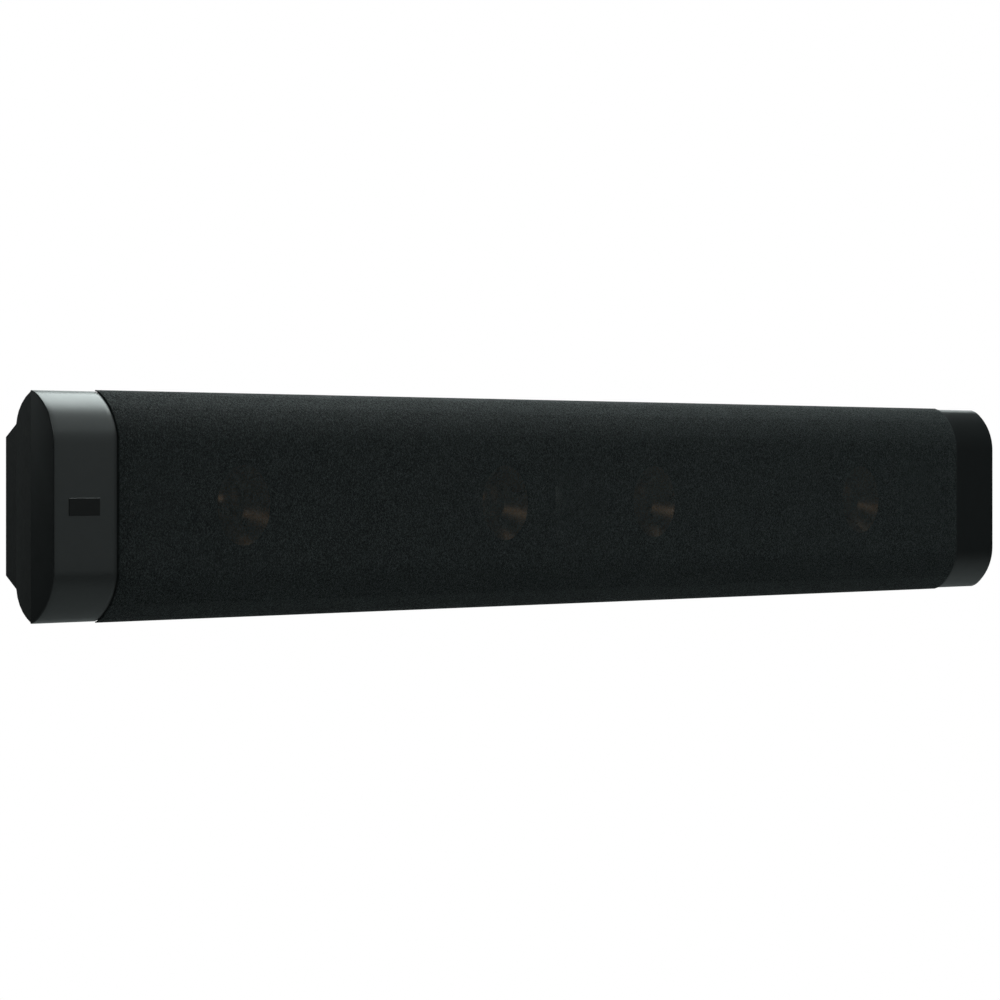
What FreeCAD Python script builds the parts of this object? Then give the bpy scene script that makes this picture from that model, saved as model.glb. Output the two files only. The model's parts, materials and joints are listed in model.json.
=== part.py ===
"""Wall-mounted passive soundbar for left, centre and right channels.

Frame: +X along the bar to the listener's right, -Y out of the front, +Z up.
The origin is the centre of the wall plane that the rubber pads rest on.
Lengths are in millimetres and angles in degrees.
"""
import FreeCAD, Part
import math
import operator
import os
import Sketcher

Vector = FreeCAD.Vector
Rotation = FreeCAD.Rotation

doc = FreeCAD.newDocument("soundbar")
sheet = doc.addObject("Spreadsheet::Sheet", "Sizes")

DIMENSIONS = [
    # casing
    ("bar_length", 1188.0, "overall length"),
    ("bar_height", 156.0, "overall height, at the ridge behind the front"),
    ("cabinet_depth", 75.0, "end cap front to cabinet rear"),
    ("pad_height", 2.5, "wall pad, stands off the cabinet rear"),
    ("cap_width", 61.5, "length of bar that one end cap covers"),
    ("cap_wall", 3.5, "end cap wall"),
    ("ridge_depth", 22.0, "front face to the ridge"),
    ("corner_drop", 35.5, "ridge to the top of the flat front"),
    ("bend_angle", 50.0, "where the corner's large curve meets the small one"),
    ("ridge_angle", 78.0, "slope of the corner as it reaches the ridge"),
    ("lip_step", 0.8, "cabinet set in behind the ridge"),
    ("waist_depth", 56.7, "front face to the waist of the rear"),
    ("waist_inset", 22.3, "ridge to the waist, measured inwards"),
    ("rear_inset", 31.0, "ridge to the rear face's edge, measured inwards"),
    ("hull_radius", 113.0, "curve from the ridge to the waist"),
    ("cabinet_wall", 4.0, "cabinet side wall"),
    ("rear_wall", 5.0, "cabinet rear wall"),
    ("fit_gap", 0.3, "clearance around a fitted piece"),
    ("glue_gap", 0.1, "adhesive film"),
    # baffle and gasket
    ("baffle_setback", 12.0, "front face to the baffle's face"),
    ("baffle_height", 132.0, "thick middle of the baffle"),
    ("rim_thickness", 1.4, "thin rim round the baffle"),
    ("gasket_thickness", 1.0, "foam gasket"),
    ("gasket_width", 3.0, "foam gasket strip"),
    # grille
    ("grille_proud", 1.0, "cloth stands proud of the end caps"),
    ("cloth_thickness", 0.8, "grille cloth"),
    ("frame_thickness", 2.0, "grille frame"),
    ("grille_angle", 64.0, "slope where the grille's edge ends"),
    ("grille_end_gap", 0.4, "grille to end cap"),
    ("window_height", 102.0, "opening in the grille frame"),
    ("mullion_width", 12.0, "upright bar in the grille frame"),
    ("mullion_x", 245.0, "centre to upright bar"),
    ("peg_radius", 5.0, "grille peg"),
    ("peg_z", 56.0, "centre to a row of pegs"),
    ("peg_start", 4.3, "front face to the peg's root"),
    ("magnet_radius", 3.5, "catch magnet"),
    ("magnet_thickness", 3.0, "catch magnet"),
    # badge
    ("badge_width", 30.0, "bare badge plate"),
    ("badge_height", 12.0, "bare badge plate"),
    ("badge_thickness", 1.0, "bare badge plate"),
    ("badge_recess", 0.6, "pocket for the badge plate"),
    ("badge_x", 29.3, "bar's end to the badge's middle"),
    # woofer
    ("woofer_inner_x", 96.0, "centre to the inner woofers"),
    ("woofer_outer_x", 394.0, "centre to the outer woofers"),
    ("flange_radius", 49.0, "basket flange"),
    ("flange_thickness", 3.0, "basket flange"),
    ("basket_radius", 42.0, "basket behind the baffle"),
    ("basket_mouth", 38.0, "basket's inner edge"),
    ("shelf_radius", 30.6, "spider shelf, outer"),
    ("shelf_inner", 28.0, "spider shelf, inner"),
    ("shelf_depth", 18.0, "baffle face to the spider shelf"),
    ("basket_depth", 26.0, "baffle face to the basket's back"),
    ("basket_wall", 2.0, "basket sheet"),
    ("basket_hole", 20.0, "opening in the basket's back"),
    ("vent_height", 16.0, "basket window"),
    ("cone_radius", 30.0, "cone edge"),
    ("cone_lip", 1.7, "flat rim round the cone"),
    ("cone_sheet", 0.8, "cone sheet"),
    ("neck_sheet", 1.12, "cone sheet at its neck, measured along the axis"),
    ("cone_depth", 14.5, "cone rim to its neck"),
    ("coil_radius", 13.5, "voice coil former, outer"),
    ("coil_sheet", 0.6, "voice coil former"),
    ("winding", 0.4, "voice coil wire, radially"),
    ("winding_length", 7.0, "voice coil wire, along the former"),
    ("coil_start", 9.6, "baffle face to the former's front"),
    ("coil_length", 24.4, "former"),
    ("dust_cap_radius", 15.0, "dust cap"),
    ("dust_cap_height", 6.0, "dust cap crown"),
    ("dust_cap_sheet", 0.6, "dust cap sheet"),
    ("roll_radius", 3.75, "surround roll, to the middle of its sheet"),
    ("roll_flatness", 1.04, "surround roll's radius over half its width"),
    ("surround_sheet", 0.6, "surround sheet"),
    ("surround_land", 3.0, "surround lip glued to the flange"),
    ("spider_sheet", 0.5, "spider cloth"),
    ("spider_wave", 0.9, "height of a spider pleat"),
    ("woofer_motor_radius", 30.0, "magnet and plates"),
    ("plate_thickness", 4.0, "top and back plates"),
    ("woofer_magnet_thickness", 9.0, "ring magnet"),
    ("woofer_magnet_bore", 17.0, "ring magnet's hole, as a radius"),
    ("pole_radius", 12.4, "pole piece"),
    ("air_gap_radius", 14.4, "top plate's hole"),
    ("screw_ring", 45.0, "woofer centre to a screw"),
    # tweeter
    ("tweeter_x", 490.0, "centre to the outer tweeters"),
    ("horn_width", 84.0, "square horn plate"),
    ("horn_plate", 3.0, "horn plate"),
    ("horn_mouth", 66.0, "horn opening at its face"),
    ("horn_throat", 26.0, "horn opening at its throat"),
    ("horn_depth", 18.0, "baffle face to the throat"),
    ("horn_wall", 2.5, "horn wall"),
    ("horn_ring_radius", 24.0, "mounting ring behind the horn"),
    ("horn_ring_thickness", 3.0, "mounting ring"),
    ("horn_screw", 38.0, "horn centre to a screw, along X and Z"),
    ("dome_radius", 12.9, "dome and former, outer"),
    ("dome_height", 4.5, "dome crown"),
    ("dome_sheet", 0.4, "dome and former"),
    ("dome_former", 6.0, "dome edge to the former's back"),
    ("edge_ring_sheet", 0.3, "dome's edge suspension"),
    ("edge_ring_radius", 17.0, "dome's edge suspension, outer"),
    ("tweeter_plate", 3.0, "tweeter motor plates"),
    ("tweeter_magnet_thickness", 8.0, "tweeter ring magnet"),
    ("tweeter_magnet_bore", 16.0, "tweeter ring magnet's hole, as a radius"),
    ("dome_gap", 0.4, "running gap each side of the dome's former"),
    # fasteners
    ("screw_radius", 1.9, "cabinet screw"),
    ("screw_clearance", 0.3, "around a screw's shank"),
    ("pilot_clearance", 0.1, "around a screw's thread"),
    ("head_radius", 3.6, "screw head"),
    ("head_height", 2.6, "screw head"),
    ("counterbore_depth", 6.0, "cabinet screw head, below the rear face"),
    ("screw_bite", 8.0, "screw hole in the piece that it holds"),
    ("tip_gap", 1.0, "screw tip to the bottom of its hole"),
    ("boss_radius", 6.0, "screw boss"),
    ("boss_z", 38.0, "centre to a row of bosses"),
    ("boss_side", 74.0, "woofer centre to the boss on its free side"),
    ("cap_boss_x", 42.0, "bar's end to the cap's bosses"),
    ("small_screw_radius", 1.5, "small screws"),
    ("small_head_radius", 2.8, "small screw heads"),
    ("small_head_height", 1.8, "small screw heads"),
    # terminals
    ("terminal_x", 182.0, "centre to the terminal cup"),
    ("cup_width", 96.0, "terminal cup"),
    ("cup_height", 58.0, "terminal cup"),
    ("cup_depth", 26.0, "terminal cup"),
    ("cup_wall", 2.0, "terminal cup's sides"),
    ("cup_floor", 3.0, "terminal cup's floor"),
    ("cup_flange", 6.0, "terminal cup's flange, beyond its sides"),
    ("cup_flange_thickness", 2.0, "terminal cup's flange"),
    ("post_pitch_x", 28.0, "one channel's posts to the next"),
    ("post_pitch_z", 19.0, "plus post to minus post"),
    ("post_radius", 3.0, "post"),
    ("banana_radius", 2.0, "socket in the post's end"),
    ("banana_depth", 16.0, "socket in the post's end"),
    ("post_length", 18.0, "post outside the cup's floor"),
    ("post_tail", 7.0, "post inside the cabinet"),
    ("collar_radius", 5.0, "post collar"),
    ("collar_height", 2.0, "post collar"),
    ("washer_radius", 5.5, "clamp washer"),
    ("washer_thickness", 1.2, "clamp washer"),
    ("washer_clearance", 0.2, "washer round the post"),
    ("knob_radius", 6.5, "binding post knob"),
    ("knob_length", 12.0, "binding post knob"),
    ("knob_clearance", 0.05, "knob's running fit on the post"),
    # crossover and wiring
    ("board_width", 90.0, "crossover board"),
    ("board_height", 56.0, "crossover board"),
    ("board_thickness", 1.6, "crossover board"),
    ("standoff", 6.0, "board above the rear wall"),
    ("standoff_radius", 3.5, "board standoff"),
    ("standoff_inset", 5.0, "board edge to a standoff"),
    ("part_pitch", 30.0, "one channel's parts to the next on the board"),
    ("part_row_z", 13.0, "board's middle to a row of parts"),
    ("inductor_radius", 11.0, "inductor"),
    ("inductor_bore", 4.0, "inductor's hole, as a radius"),
    ("inductor_height", 12.0, "inductor"),
    ("capacitor_radius", 6.5, "capacitor"),
    ("capacitor_length", 22.0, "capacitor"),
    ("loom_radius", 2.5, "wire loom"),
    ("loom_z", 22.0, "wire loom above the centre line"),
    # inside
    ("divider_thickness", 4.0, "chamber divider"),
    ("damping_thickness", 10.0, "damping pad"),
    ("damping_width", 44.0, "damping pad"),
    ("damping_height", 36.0, "damping pad"),
    ("damping_x", 325.0, "centre to the damping pads"),
    # wall fixings
    ("keyhole_x", 381.0, "centre to a keyhole"),
    ("keyhole_cup_width", 34.0, "keyhole cup"),
    ("keyhole_cup_height", 30.0, "keyhole cup"),
    ("keyhole_cup_depth", 10.0, "keyhole cup"),
    ("keyhole_plate", 2.0, "keyhole cup's face"),
    ("keyhole_wall", 1.6, "keyhole cup's walls"),
    ("keyhole_entry_radius", 5.5, "keyhole, round entry"),
    ("keyhole_slot_radius", 2.75, "keyhole, half the slot's width"),
    ("keyhole_slot_rise", 9.0, "entry centre up to the slot's end"),
    ("keyhole_entry_drop", 5.0, "cup's middle down to the entry"),
    ("insert_x", 280.0, "centre to a threaded insert"),
    ("insert_z", 32.0, "centre to a threaded insert"),
    ("insert_radius", 3.6, "threaded insert"),
    ("insert_bore", 2.1, "threaded insert's core, as a radius"),
    ("insert_length", 9.0, "threaded insert"),
    ("wall_pad_radius", 9.0, "wall pad"),
    ("wall_pad_x", 500.0, "centre to a wall pad"),
    ("wall_pad_z", 28.0, "centre to a wall pad"),
]


class Size:
    """A number of the sheet, or a sum made of them, with the expression that gives it."""

    def __init__(self, value, text):
        self.value = value
        self.text = text

    def __add__(self, other):
        return combine(self, other, "+", operator.add)

    def __radd__(self, other):
        return combine(other, self, "+", operator.add)

    def __sub__(self, other):
        return combine(self, other, "-", operator.sub)

    def __rsub__(self, other):
        return combine(other, self, "-", operator.sub)

    def __mul__(self, other):
        return combine(self, other, "*", operator.mul)

    def __rmul__(self, other):
        return combine(other, self, "*", operator.mul)

    def __truediv__(self, other):
        return combine(self, other, "/", operator.truediv)

    def __neg__(self):
        return combine(0.0, self, "-", operator.sub)


def as_size(number):
    """A plain number as a Size; a Size stays as it is."""
    if isinstance(number, Size):
        return number
    return Size(float(number), repr(float(number)))


def combine(left, right, sign, rule):
    """Two sizes joined by an arithmetic sign."""
    left = as_size(left)
    right = as_size(right)
    return Size(rule(left.value, right.value), f"({left.text} {sign} {right.text})")


def cosine(angle):
    """Cosine of an angle in degrees."""
    return Size(math.cos(math.radians(angle.value)), f"cos({angle.text})")


def sine(angle):
    """Sine of an angle in degrees."""
    return Size(math.sin(math.radians(angle.value)), f"sin({angle.text})")


size = {}
for row, (alias, number, note) in enumerate(DIMENSIONS, start=1):
    sheet.set(f"A{row}", note)
    sheet.set(f"B{row}", str(number))
    sheet.setAlias(f"B{row}", alias)
    size[alias] = Size(number, f"Sizes.{alias}")
doc.recompute()


# ---------------------------------------------------------------- building blocks

def place(thing, x=0.0, y=0.0, z=0.0):
    """Bind a thing's position to sizes."""
    for axis, value in zip("xyz", (x, y, z)):
        thing.setExpression(f"Placement.Base.{axis}", as_size(value).text)
    return thing


def turn(thing, axis, degrees):
    """Give a thing a fixed rotation, before its position is bound."""
    thing.Placement = FreeCAD.Placement(Vector(), Rotation(axis, degrees))
    return thing


def box(name, corner, extent):
    """Box from its lowest corner and its extent along X, Y and Z."""
    block = doc.addObject("Part::Box", name)
    for side, value in zip(("Length", "Width", "Height"), extent):
        block.setExpression(side, as_size(value).text)
    return place(block, *corner)


def rod(name, centre, radius, length):
    """Round rod whose axis runs along +Y from its centre."""
    cylinder = doc.addObject("Part::Cylinder", name)
    cylinder.setExpression("Radius", as_size(radius).text)
    cylinder.setExpression("Height", as_size(length).text)
    turn(cylinder, Vector(1, 0, 0), -90)
    return place(cylinder, *centre)


def rod_along_x(name, centre, radius, length):
    """Round rod whose axis runs along +X from its centre."""
    cylinder = doc.addObject("Part::Cylinder", name)
    cylinder.setExpression("Radius", as_size(radius).text)
    cylinder.setExpression("Height", as_size(length).text)
    turn(cylinder, Vector(0, 1, 0), 90)
    return place(cylinder, *centre)


def frustum(name, centre, start, front_width, back_width, length):
    """Square frustum along +Y: front_width across at start, back_width across at its end."""
    wedge = doc.addObject("Part::Wedge", name)
    limits = {
        "Xmin": -front_width / 2, "Xmax": front_width / 2,
        "Zmin": -front_width / 2, "Zmax": front_width / 2,
        "X2min": -back_width / 2, "X2max": back_width / 2,
        "Z2min": -back_width / 2, "Z2max": back_width / 2,
        "Ymin": as_size(0.0), "Ymax": as_size(length),
    }
    wedge.Xmin, wedge.Xmax = limits["Xmin"].value, limits["Xmax"].value
    wedge.Ymin, wedge.Ymax = 0.0, limits["Ymax"].value
    for key, value in limits.items():
        wedge.setExpression(key, value.text)
    return place(wedge, centre, start, 0.0)


def cut(name, base, tools):
    """Base less every tool."""
    result = doc.addObject("Part::Cut", name)
    result.Base = base
    result.Tool = tools[0] if len(tools) == 1 else group(name + "_tools", tools)
    return result


def fuse(name, pieces):
    """One solid from pieces that overlap or touch."""
    result = doc.addObject("Part::MultiFuse", name)
    result.Shapes = pieces
    return result


def common(name, pieces):
    """What all the pieces share."""
    result = doc.addObject("Part::MultiCommon", name)
    result.Shapes = pieces
    return result


def group(name, pieces):
    """Separate solids kept as one sub-part."""
    result = doc.addObject("Part::Compound", name)
    result.Links = pieces
    return result


def mirrored_x(*distances):
    """Each distance to the left and to the right of the centre."""
    return [side * distance for distance in distances for side in (-1, 1)]


def origin_plane(body, role):
    """One of a body's own origin planes."""
    return next(feature for feature in body.Origin.OriginFeatures if feature.Role == role)


def arc_through(start, end, radius, bulge):
    """Anticlockwise arc between two points, its belly to the right of the way for a bulge of 1."""
    chord = end.sub(start)
    half = chord.Length / 2
    sagitta = radius - math.sqrt(radius * radius - half * half)
    belly = Vector(chord.y, -chord.x, 0).normalize() * (sagitta * bulge)
    middle = (start + end) * 0.5 + belly
    if bulge > 0:
        return Part.Arc(start, middle, end)
    return Part.Arc(end, middle, start)


def sketch_on(body, name, role):
    """Sketch attached to one of its own body's origin planes."""
    sketch = body.newObject("Sketcher::SketchObject", name)
    sketch.AttachmentSupport = (origin_plane(body, role), [""])
    sketch.MapMode = "FlatFace"
    return sketch


def draw_outline(sketch, corners, arcs=None):
    """Closed outline through corners; arcs gives the (radius, bulge) of a side by its number."""
    arcs = arcs or {}
    corners = [(as_size(u), as_size(v)) for u, v in corners]
    points = [Vector(u.value, v.value, 0) for u, v in corners]
    sides = []
    for number, start in enumerate(points):
        end = points[(number + 1) % len(points)]
        if number in arcs:
            radius, bulge = arcs[number]
            curve = arc_through(start, end, as_size(radius).value, bulge)
        else:
            curve = Part.LineSegment(start, end)
        side = sketch.addGeometry(curve, False)
        forward = sketch.Geometry[side].StartPoint.distanceToPoint(start) < 1e-6
        sides.append((side, 1 if forward else 2, 2 if forward else 1))
    for number, (side, _, last) in enumerate(sides):
        following, first, _ = sides[(number + 1) % len(sides)]
        sketch.addConstraint(Sketcher.Constraint("Coincident", side, last, following, first))
    for number, (side, first, _) in enumerate(sides):
        for kind, value in zip(("DistanceX", "DistanceY"), corners[number]):
            datum = Sketcher.Constraint(kind, -1, 1, side, first, value.value)
            index = sketch.addConstraint(datum)
            sketch.setExpression(f"Constraints[{index}]", value.text)
        if number in arcs:
            radius = as_size(arcs[number][0])
            index = sketch.addConstraint(Sketcher.Constraint("Radius", side, radius.value))
            sketch.setExpression(f"Constraints[{index}]", radius.text)
    return sketch


def padded(name, role, corners, length, arcs=None):
    """Body padded from one outline along its plane's normal."""
    body = doc.addObject("PartDesign::Body", name)
    sketch = draw_outline(sketch_on(body, name + "_outline", role), corners, arcs)
    pad = body.newObject("PartDesign::Pad", name + "_pad")
    pad.Profile = sketch
    pad.setExpression("Length", as_size(length).text)
    return body


def turned(name, corners, arcs=None):
    """Body of revolution about its own Y axis, from an outline of (radius, y) corners."""
    body = doc.addObject("PartDesign::Body", name)
    sketch = draw_outline(sketch_on(body, name + "_outline", "XY_Plane"), corners, arcs)
    revolution = body.newObject("PartDesign::Revolution", name + "_turn")
    revolution.Profile = sketch
    revolution.ReferenceAxis = (sketch, ["V_Axis"])
    revolution.Angle = 360.0
    return body


def tube(name, inner, outer, start, length):
    """Ring or tube about the Y axis."""
    return turned(name, [(inner, start), (outer, start), (outer, start + length), (inner, start + length)])


# ---------------------------------------------------------------- shared places

s = size
rear_y = -s["pad_height"]
front_y = rear_y - s["cabinet_depth"]
ridge_y = front_y + s["ridge_depth"]
waist_y = front_y + s["waist_depth"]
inner_rear_y = rear_y - s["rear_wall"]
half_length = s["bar_length"] / 2
half_height = s["bar_height"] / 2
flat_top_z = half_height - s["corner_drop"]
baffle_y = front_y + s["baffle_setback"]
baffle_back_y = ridge_y - s["gasket_thickness"]
cap_edge_x = half_length - s["cap_width"]

WOOFERS = {
    "left_outer": -s["woofer_outer_x"],
    "left_inner": -s["woofer_inner_x"],
    "right_inner": s["woofer_inner_x"],
    "right_outer": s["woofer_outer_x"],
}
TWEETERS = {"left": -s["tweeter_x"], "centre": as_size(0.0), "right": s["tweeter_x"]}
PEG_COLUMNS = [as_size(0.0)] + mirrored_x(s["mullion_x"], s["tweeter_x"])
BAFFLE_COLUMNS = mirrored_x(
    s["woofer_inner_x"] / 2,
    s["woofer_inner_x"] + s["boss_side"],
    s["woofer_outer_x"] - s["boss_side"],
    (s["woofer_outer_x"] + s["tweeter_x"]) / 2,
)
CAP_COLUMNS = mirrored_x(half_length - s["cap_boss_x"])

# The front corner is two arcs that meet at bend_angle and reach the ridge at ridge_angle.
bend_cos = cosine(s["bend_angle"])
bend_sin = sine(s["bend_angle"])
ridge_cos = cosine(s["ridge_angle"])
ridge_sin = sine(s["ridge_angle"])
corner_sum = (1 - bend_cos) * (ridge_sin - bend_sin) - (bend_cos - ridge_cos) * bend_sin
large_radius = (
    s["ridge_depth"] * (ridge_sin - bend_sin) - s["corner_drop"] * (bend_cos - ridge_cos)
) / corner_sum
small_radius = (
    (1 - bend_cos) * s["corner_drop"] - bend_sin * s["ridge_depth"]
) / corner_sum


def corner_points(offset, end_angle):
    """Front corner, moved out by offset: flat's edge, bend and end, as (y, z)."""
    centre_y = front_y + large_radius
    small_y = centre_y - (large_radius - small_radius) * bend_cos
    small_z = flat_top_z + (large_radius - small_radius) * bend_sin
    reach = small_radius + offset
    return [
        (front_y - offset, flat_top_z),
        (centre_y - (large_radius + offset) * bend_cos, flat_top_z + (large_radius + offset) * bend_sin),
        (small_y - reach * cosine(end_angle), small_z + reach * sine(end_angle)),
    ]


def mirrored_z(points):
    """Points below the centre line, in the other order."""
    return [(y, -z) for y, z in reversed(points)]


def front_solid(name, offset, start_x, length, run_out=None):
    """The bar's front section as a solid from start_x, its back run_out behind the ridge."""
    flat, bend, end = corner_points(offset, s["ridge_angle"])
    half = [end, bend, flat]
    if run_out is not None:
        half.insert(0, (end[0] + run_out, end[1]))
    corners = half + mirrored_z(half)
    first = len(half) - 3
    small = (small_radius + offset, 1)
    large = (large_radius + offset, 1)
    arcs = {first: small, first + 1: large, first + 3: large, first + 4: small}
    return place(padded(name, "YZ_Plane", corners, length, arcs), start_x)


def front_skin(name, outer, thickness, start_x, length):
    """A sheet that follows the front section, its outside moved out by outer."""
    inner = outer - thickness
    flat, bend, end = corner_points(outer, s["grille_angle"])
    inner_flat, inner_bend, inner_end = corner_points(inner, s["grille_angle"])
    outside = [end, bend, flat]
    inside = [inner_end, inner_bend, inner_flat]
    corners = outside + mirrored_z(outside) + [(y, -z) for y, z in inside] + inside[::-1]
    small = (small_radius + outer, 1)
    large = (large_radius + outer, 1)
    inner_small = (small_radius + inner, -1)
    inner_large = (large_radius + inner, -1)
    arcs = {
        0: small, 1: large, 3: large, 4: small,
        6: inner_small, 7: inner_large, 9: inner_large, 10: inner_small,
    }
    return place(padded(name, "YZ_Plane", corners, length, arcs), start_x)


def hull(name, inset, start, rear):
    """The bar behind the ridge, all four sides drawn in alike, from start back to rear."""

    def outline(half_width):
        ridge = half_width - s["lip_step"] - inset
        waist = half_width - s["waist_inset"] - inset
        back = half_width - s["rear_inset"] - inset
        side = [(ridge_y, ridge), (waist_y, waist), (rear, back)]
        if start is not ridge_y:
            side.insert(0, (start, ridge))
        return side

    first = 0 if start is ridge_y else 1
    side = outline(half_height)
    profile = side + mirrored_z(side)
    arcs = {first: (s["hull_radius"], -1), len(profile) - 2 - first: (s["hull_radius"], -1)}
    length_wise = padded(name + "_profile", "YZ_Plane", profile, s["bar_length"], arcs)
    place(length_wise, -half_length)
    side = outline(half_length)
    plan = [(x, y) for y, x in side] + [(-x, y) for y, x in reversed(side)]
    arcs = {first: (s["hull_radius"], 1), len(plan) - 2 - first: (s["hull_radius"], 1)}
    upright = padded(name + "_plan", "XY_Plane", plan, s["bar_height"], arcs)
    place(upright, 0.0, 0.0, -half_height)
    return common(name, [length_wise, upright])


def columns(name, x_places, z_places, make):
    """One piece from make(name, x, z) at every crossing of the places."""
    return [
        make(f"{name}_{column}_{line}", as_size(x), as_size(z))
        for column, x in enumerate(x_places)
        for line, z in enumerate(z_places)
    ]


def rods(name, x_places, z_places, start, radius, length):
    """Rods along +Y at every crossing of the places."""
    return columns(name, x_places, z_places, lambda label, x, z: rod(label, (x, start, z), radius, length))


def screw(name, x, z, seat, shank, radius, head_radius, head_height, from_rear):
    """Screw whose head bears on the plane y = seat, its shank running away from the head."""
    head_start = seat if from_rear else seat - head_height
    shank_start = seat - shank if from_rear else seat
    head = rod(name + "_head", (x, head_start, z), head_radius, head_height)
    stem = rod(name + "_shank", (x, shank_start, z), radius, shank)
    return fuse(name, [head, stem])


# How far a cutting tool runs past the face that it cuts.
OVERRUN = 1.0

NODES = {}


def keep(name, thing):
    """File a thing as a sub-part of the bar."""
    thing.Label = name
    NODES[name] = thing
    return thing


# ---------------------------------------------------------------- casing

BOSS_ROWS = [-s["boss_z"], s["boss_z"]]
clearance_radius = s["screw_radius"] + s["screw_clearance"]
pilot_radius = s["screw_radius"] + s["pilot_clearance"]
small_clearance_radius = s["small_screw_radius"] + s["screw_clearance"]
small_pilot_radius = s["small_screw_radius"] + s["pilot_clearance"]
board_x = -s["terminal_x"]
board_y = inner_rear_y - s["standoff"] - s["board_thickness"]
STANDOFF_X = [
    board_x + side * (s["board_width"] / 2 - s["standoff_inset"]) for side in (-1, 1)
]
STANDOFF_Z = [side * (s["board_height"] / 2 - s["standoff_inset"]) for side in (-1, 1)]
CUP_SCREW_X = [
    s["terminal_x"] + side * (s["cup_width"] / 2 + s["cup_flange"] / 2) for side in (-1, 1)
]
CUP_SCREW_Z = [side * s["cup_height"] / 2 for side in (-1, 1)]
INSERT_Z = [-s["insert_z"], s["insert_z"]]
PEG_Z = [-s["peg_z"], s["peg_z"]]
woofer_screw_reach = s["screw_ring"] * sine(as_size(45.0))
loom_y = inner_rear_y - s["loom_radius"] - s["fit_gap"]


def recess_box(name, x, z, width, height, start, depth):
    """Box centred on (x, z) that runs from y = start for its depth."""
    return box(name, (x - width / 2, start, z - height / 2), (width, depth, height))


def rear_cabinet():
    """Tapered tub with bosses, standoffs and the openings in its rear wall."""
    shell = cut("cabinet_shell", hull("cabinet_outside", 0.0, ridge_y, rear_y),
                [hull("cabinet_inside", s["cabinet_wall"], ridge_y - OVERRUN, inner_rear_y)])
    wall_start = inner_rear_y - s["fit_gap"]
    bosses = rods("baffle_boss", BAFFLE_COLUMNS, BOSS_ROWS, baffle_back_y, s["boss_radius"],
                  inner_rear_y + s["glue_gap"] - baffle_back_y)
    bosses += rods("cap_boss_rear", CAP_COLUMNS, BOSS_ROWS, ridge_y, s["boss_radius"],
                   inner_rear_y + s["glue_gap"] - ridge_y)
    bosses += rods("board_standoff", STANDOFF_X, STANDOFF_Z, board_y + s["board_thickness"],
                   s["standoff_radius"], s["standoff"] + s["glue_gap"])
    bosses += rods("insert_boss", mirrored_x(s["insert_x"]), INSERT_Z,
                   rear_y - s["insert_length"] - s["rear_wall"] / 2, s["boss_radius"], s["insert_length"])
    body = fuse("cabinet_with_bosses", [shell] + bosses)
    all_columns = BAFFLE_COLUMNS + CAP_COLUMNS
    tools = rods("cabinet_screw_hole", all_columns, BOSS_ROWS, baffle_back_y - OVERRUN, clearance_radius,
                 s["cabinet_depth"])
    tools += rods("cabinet_counterbore", all_columns, BOSS_ROWS, rear_y - s["counterbore_depth"],
                  s["head_radius"] + s["screw_clearance"], s["counterbore_depth"] + OVERRUN)
    tools += rods("insert_hole", mirrored_x(s["insert_x"]), INSERT_Z, rear_y - s["insert_length"],
                  s["insert_radius"] + s["glue_gap"], s["insert_length"] + OVERRUN)
    tools += rods("standoff_hole", STANDOFF_X, STANDOFF_Z, board_y, small_pilot_radius,
                  s["standoff"] + s["board_thickness"])
    gap = 2 * s["fit_gap"]
    tools.append(recess_box("cup_opening", s["terminal_x"], as_size(0.0), s["cup_width"] + gap,
                            s["cup_height"] + gap, wall_start, s["rear_wall"] + OVERRUN))
    tools.append(recess_box("cup_flange_recess", s["terminal_x"], as_size(0.0),
                            s["cup_width"] + 2 * s["cup_flange"] + gap,
                            s["cup_height"] + 2 * s["cup_flange"] + gap,
                            rear_y - s["cup_flange_thickness"], s["cup_flange_thickness"] + OVERRUN))
    tools += rods("cup_screw_hole", CUP_SCREW_X, CUP_SCREW_Z, inner_rear_y - OVERRUN,
                  small_pilot_radius, s["rear_wall"] + OVERRUN)
    for number, x in enumerate(mirrored_x(s["keyhole_x"])):
        tools.append(recess_box(f"keyhole_opening_{number}", x, as_size(0.0), s["keyhole_cup_width"] + gap,
                                s["keyhole_cup_height"] + gap, wall_start, s["rear_wall"] + OVERRUN))
    return cut("rear_cabinet", body, tools)


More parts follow.
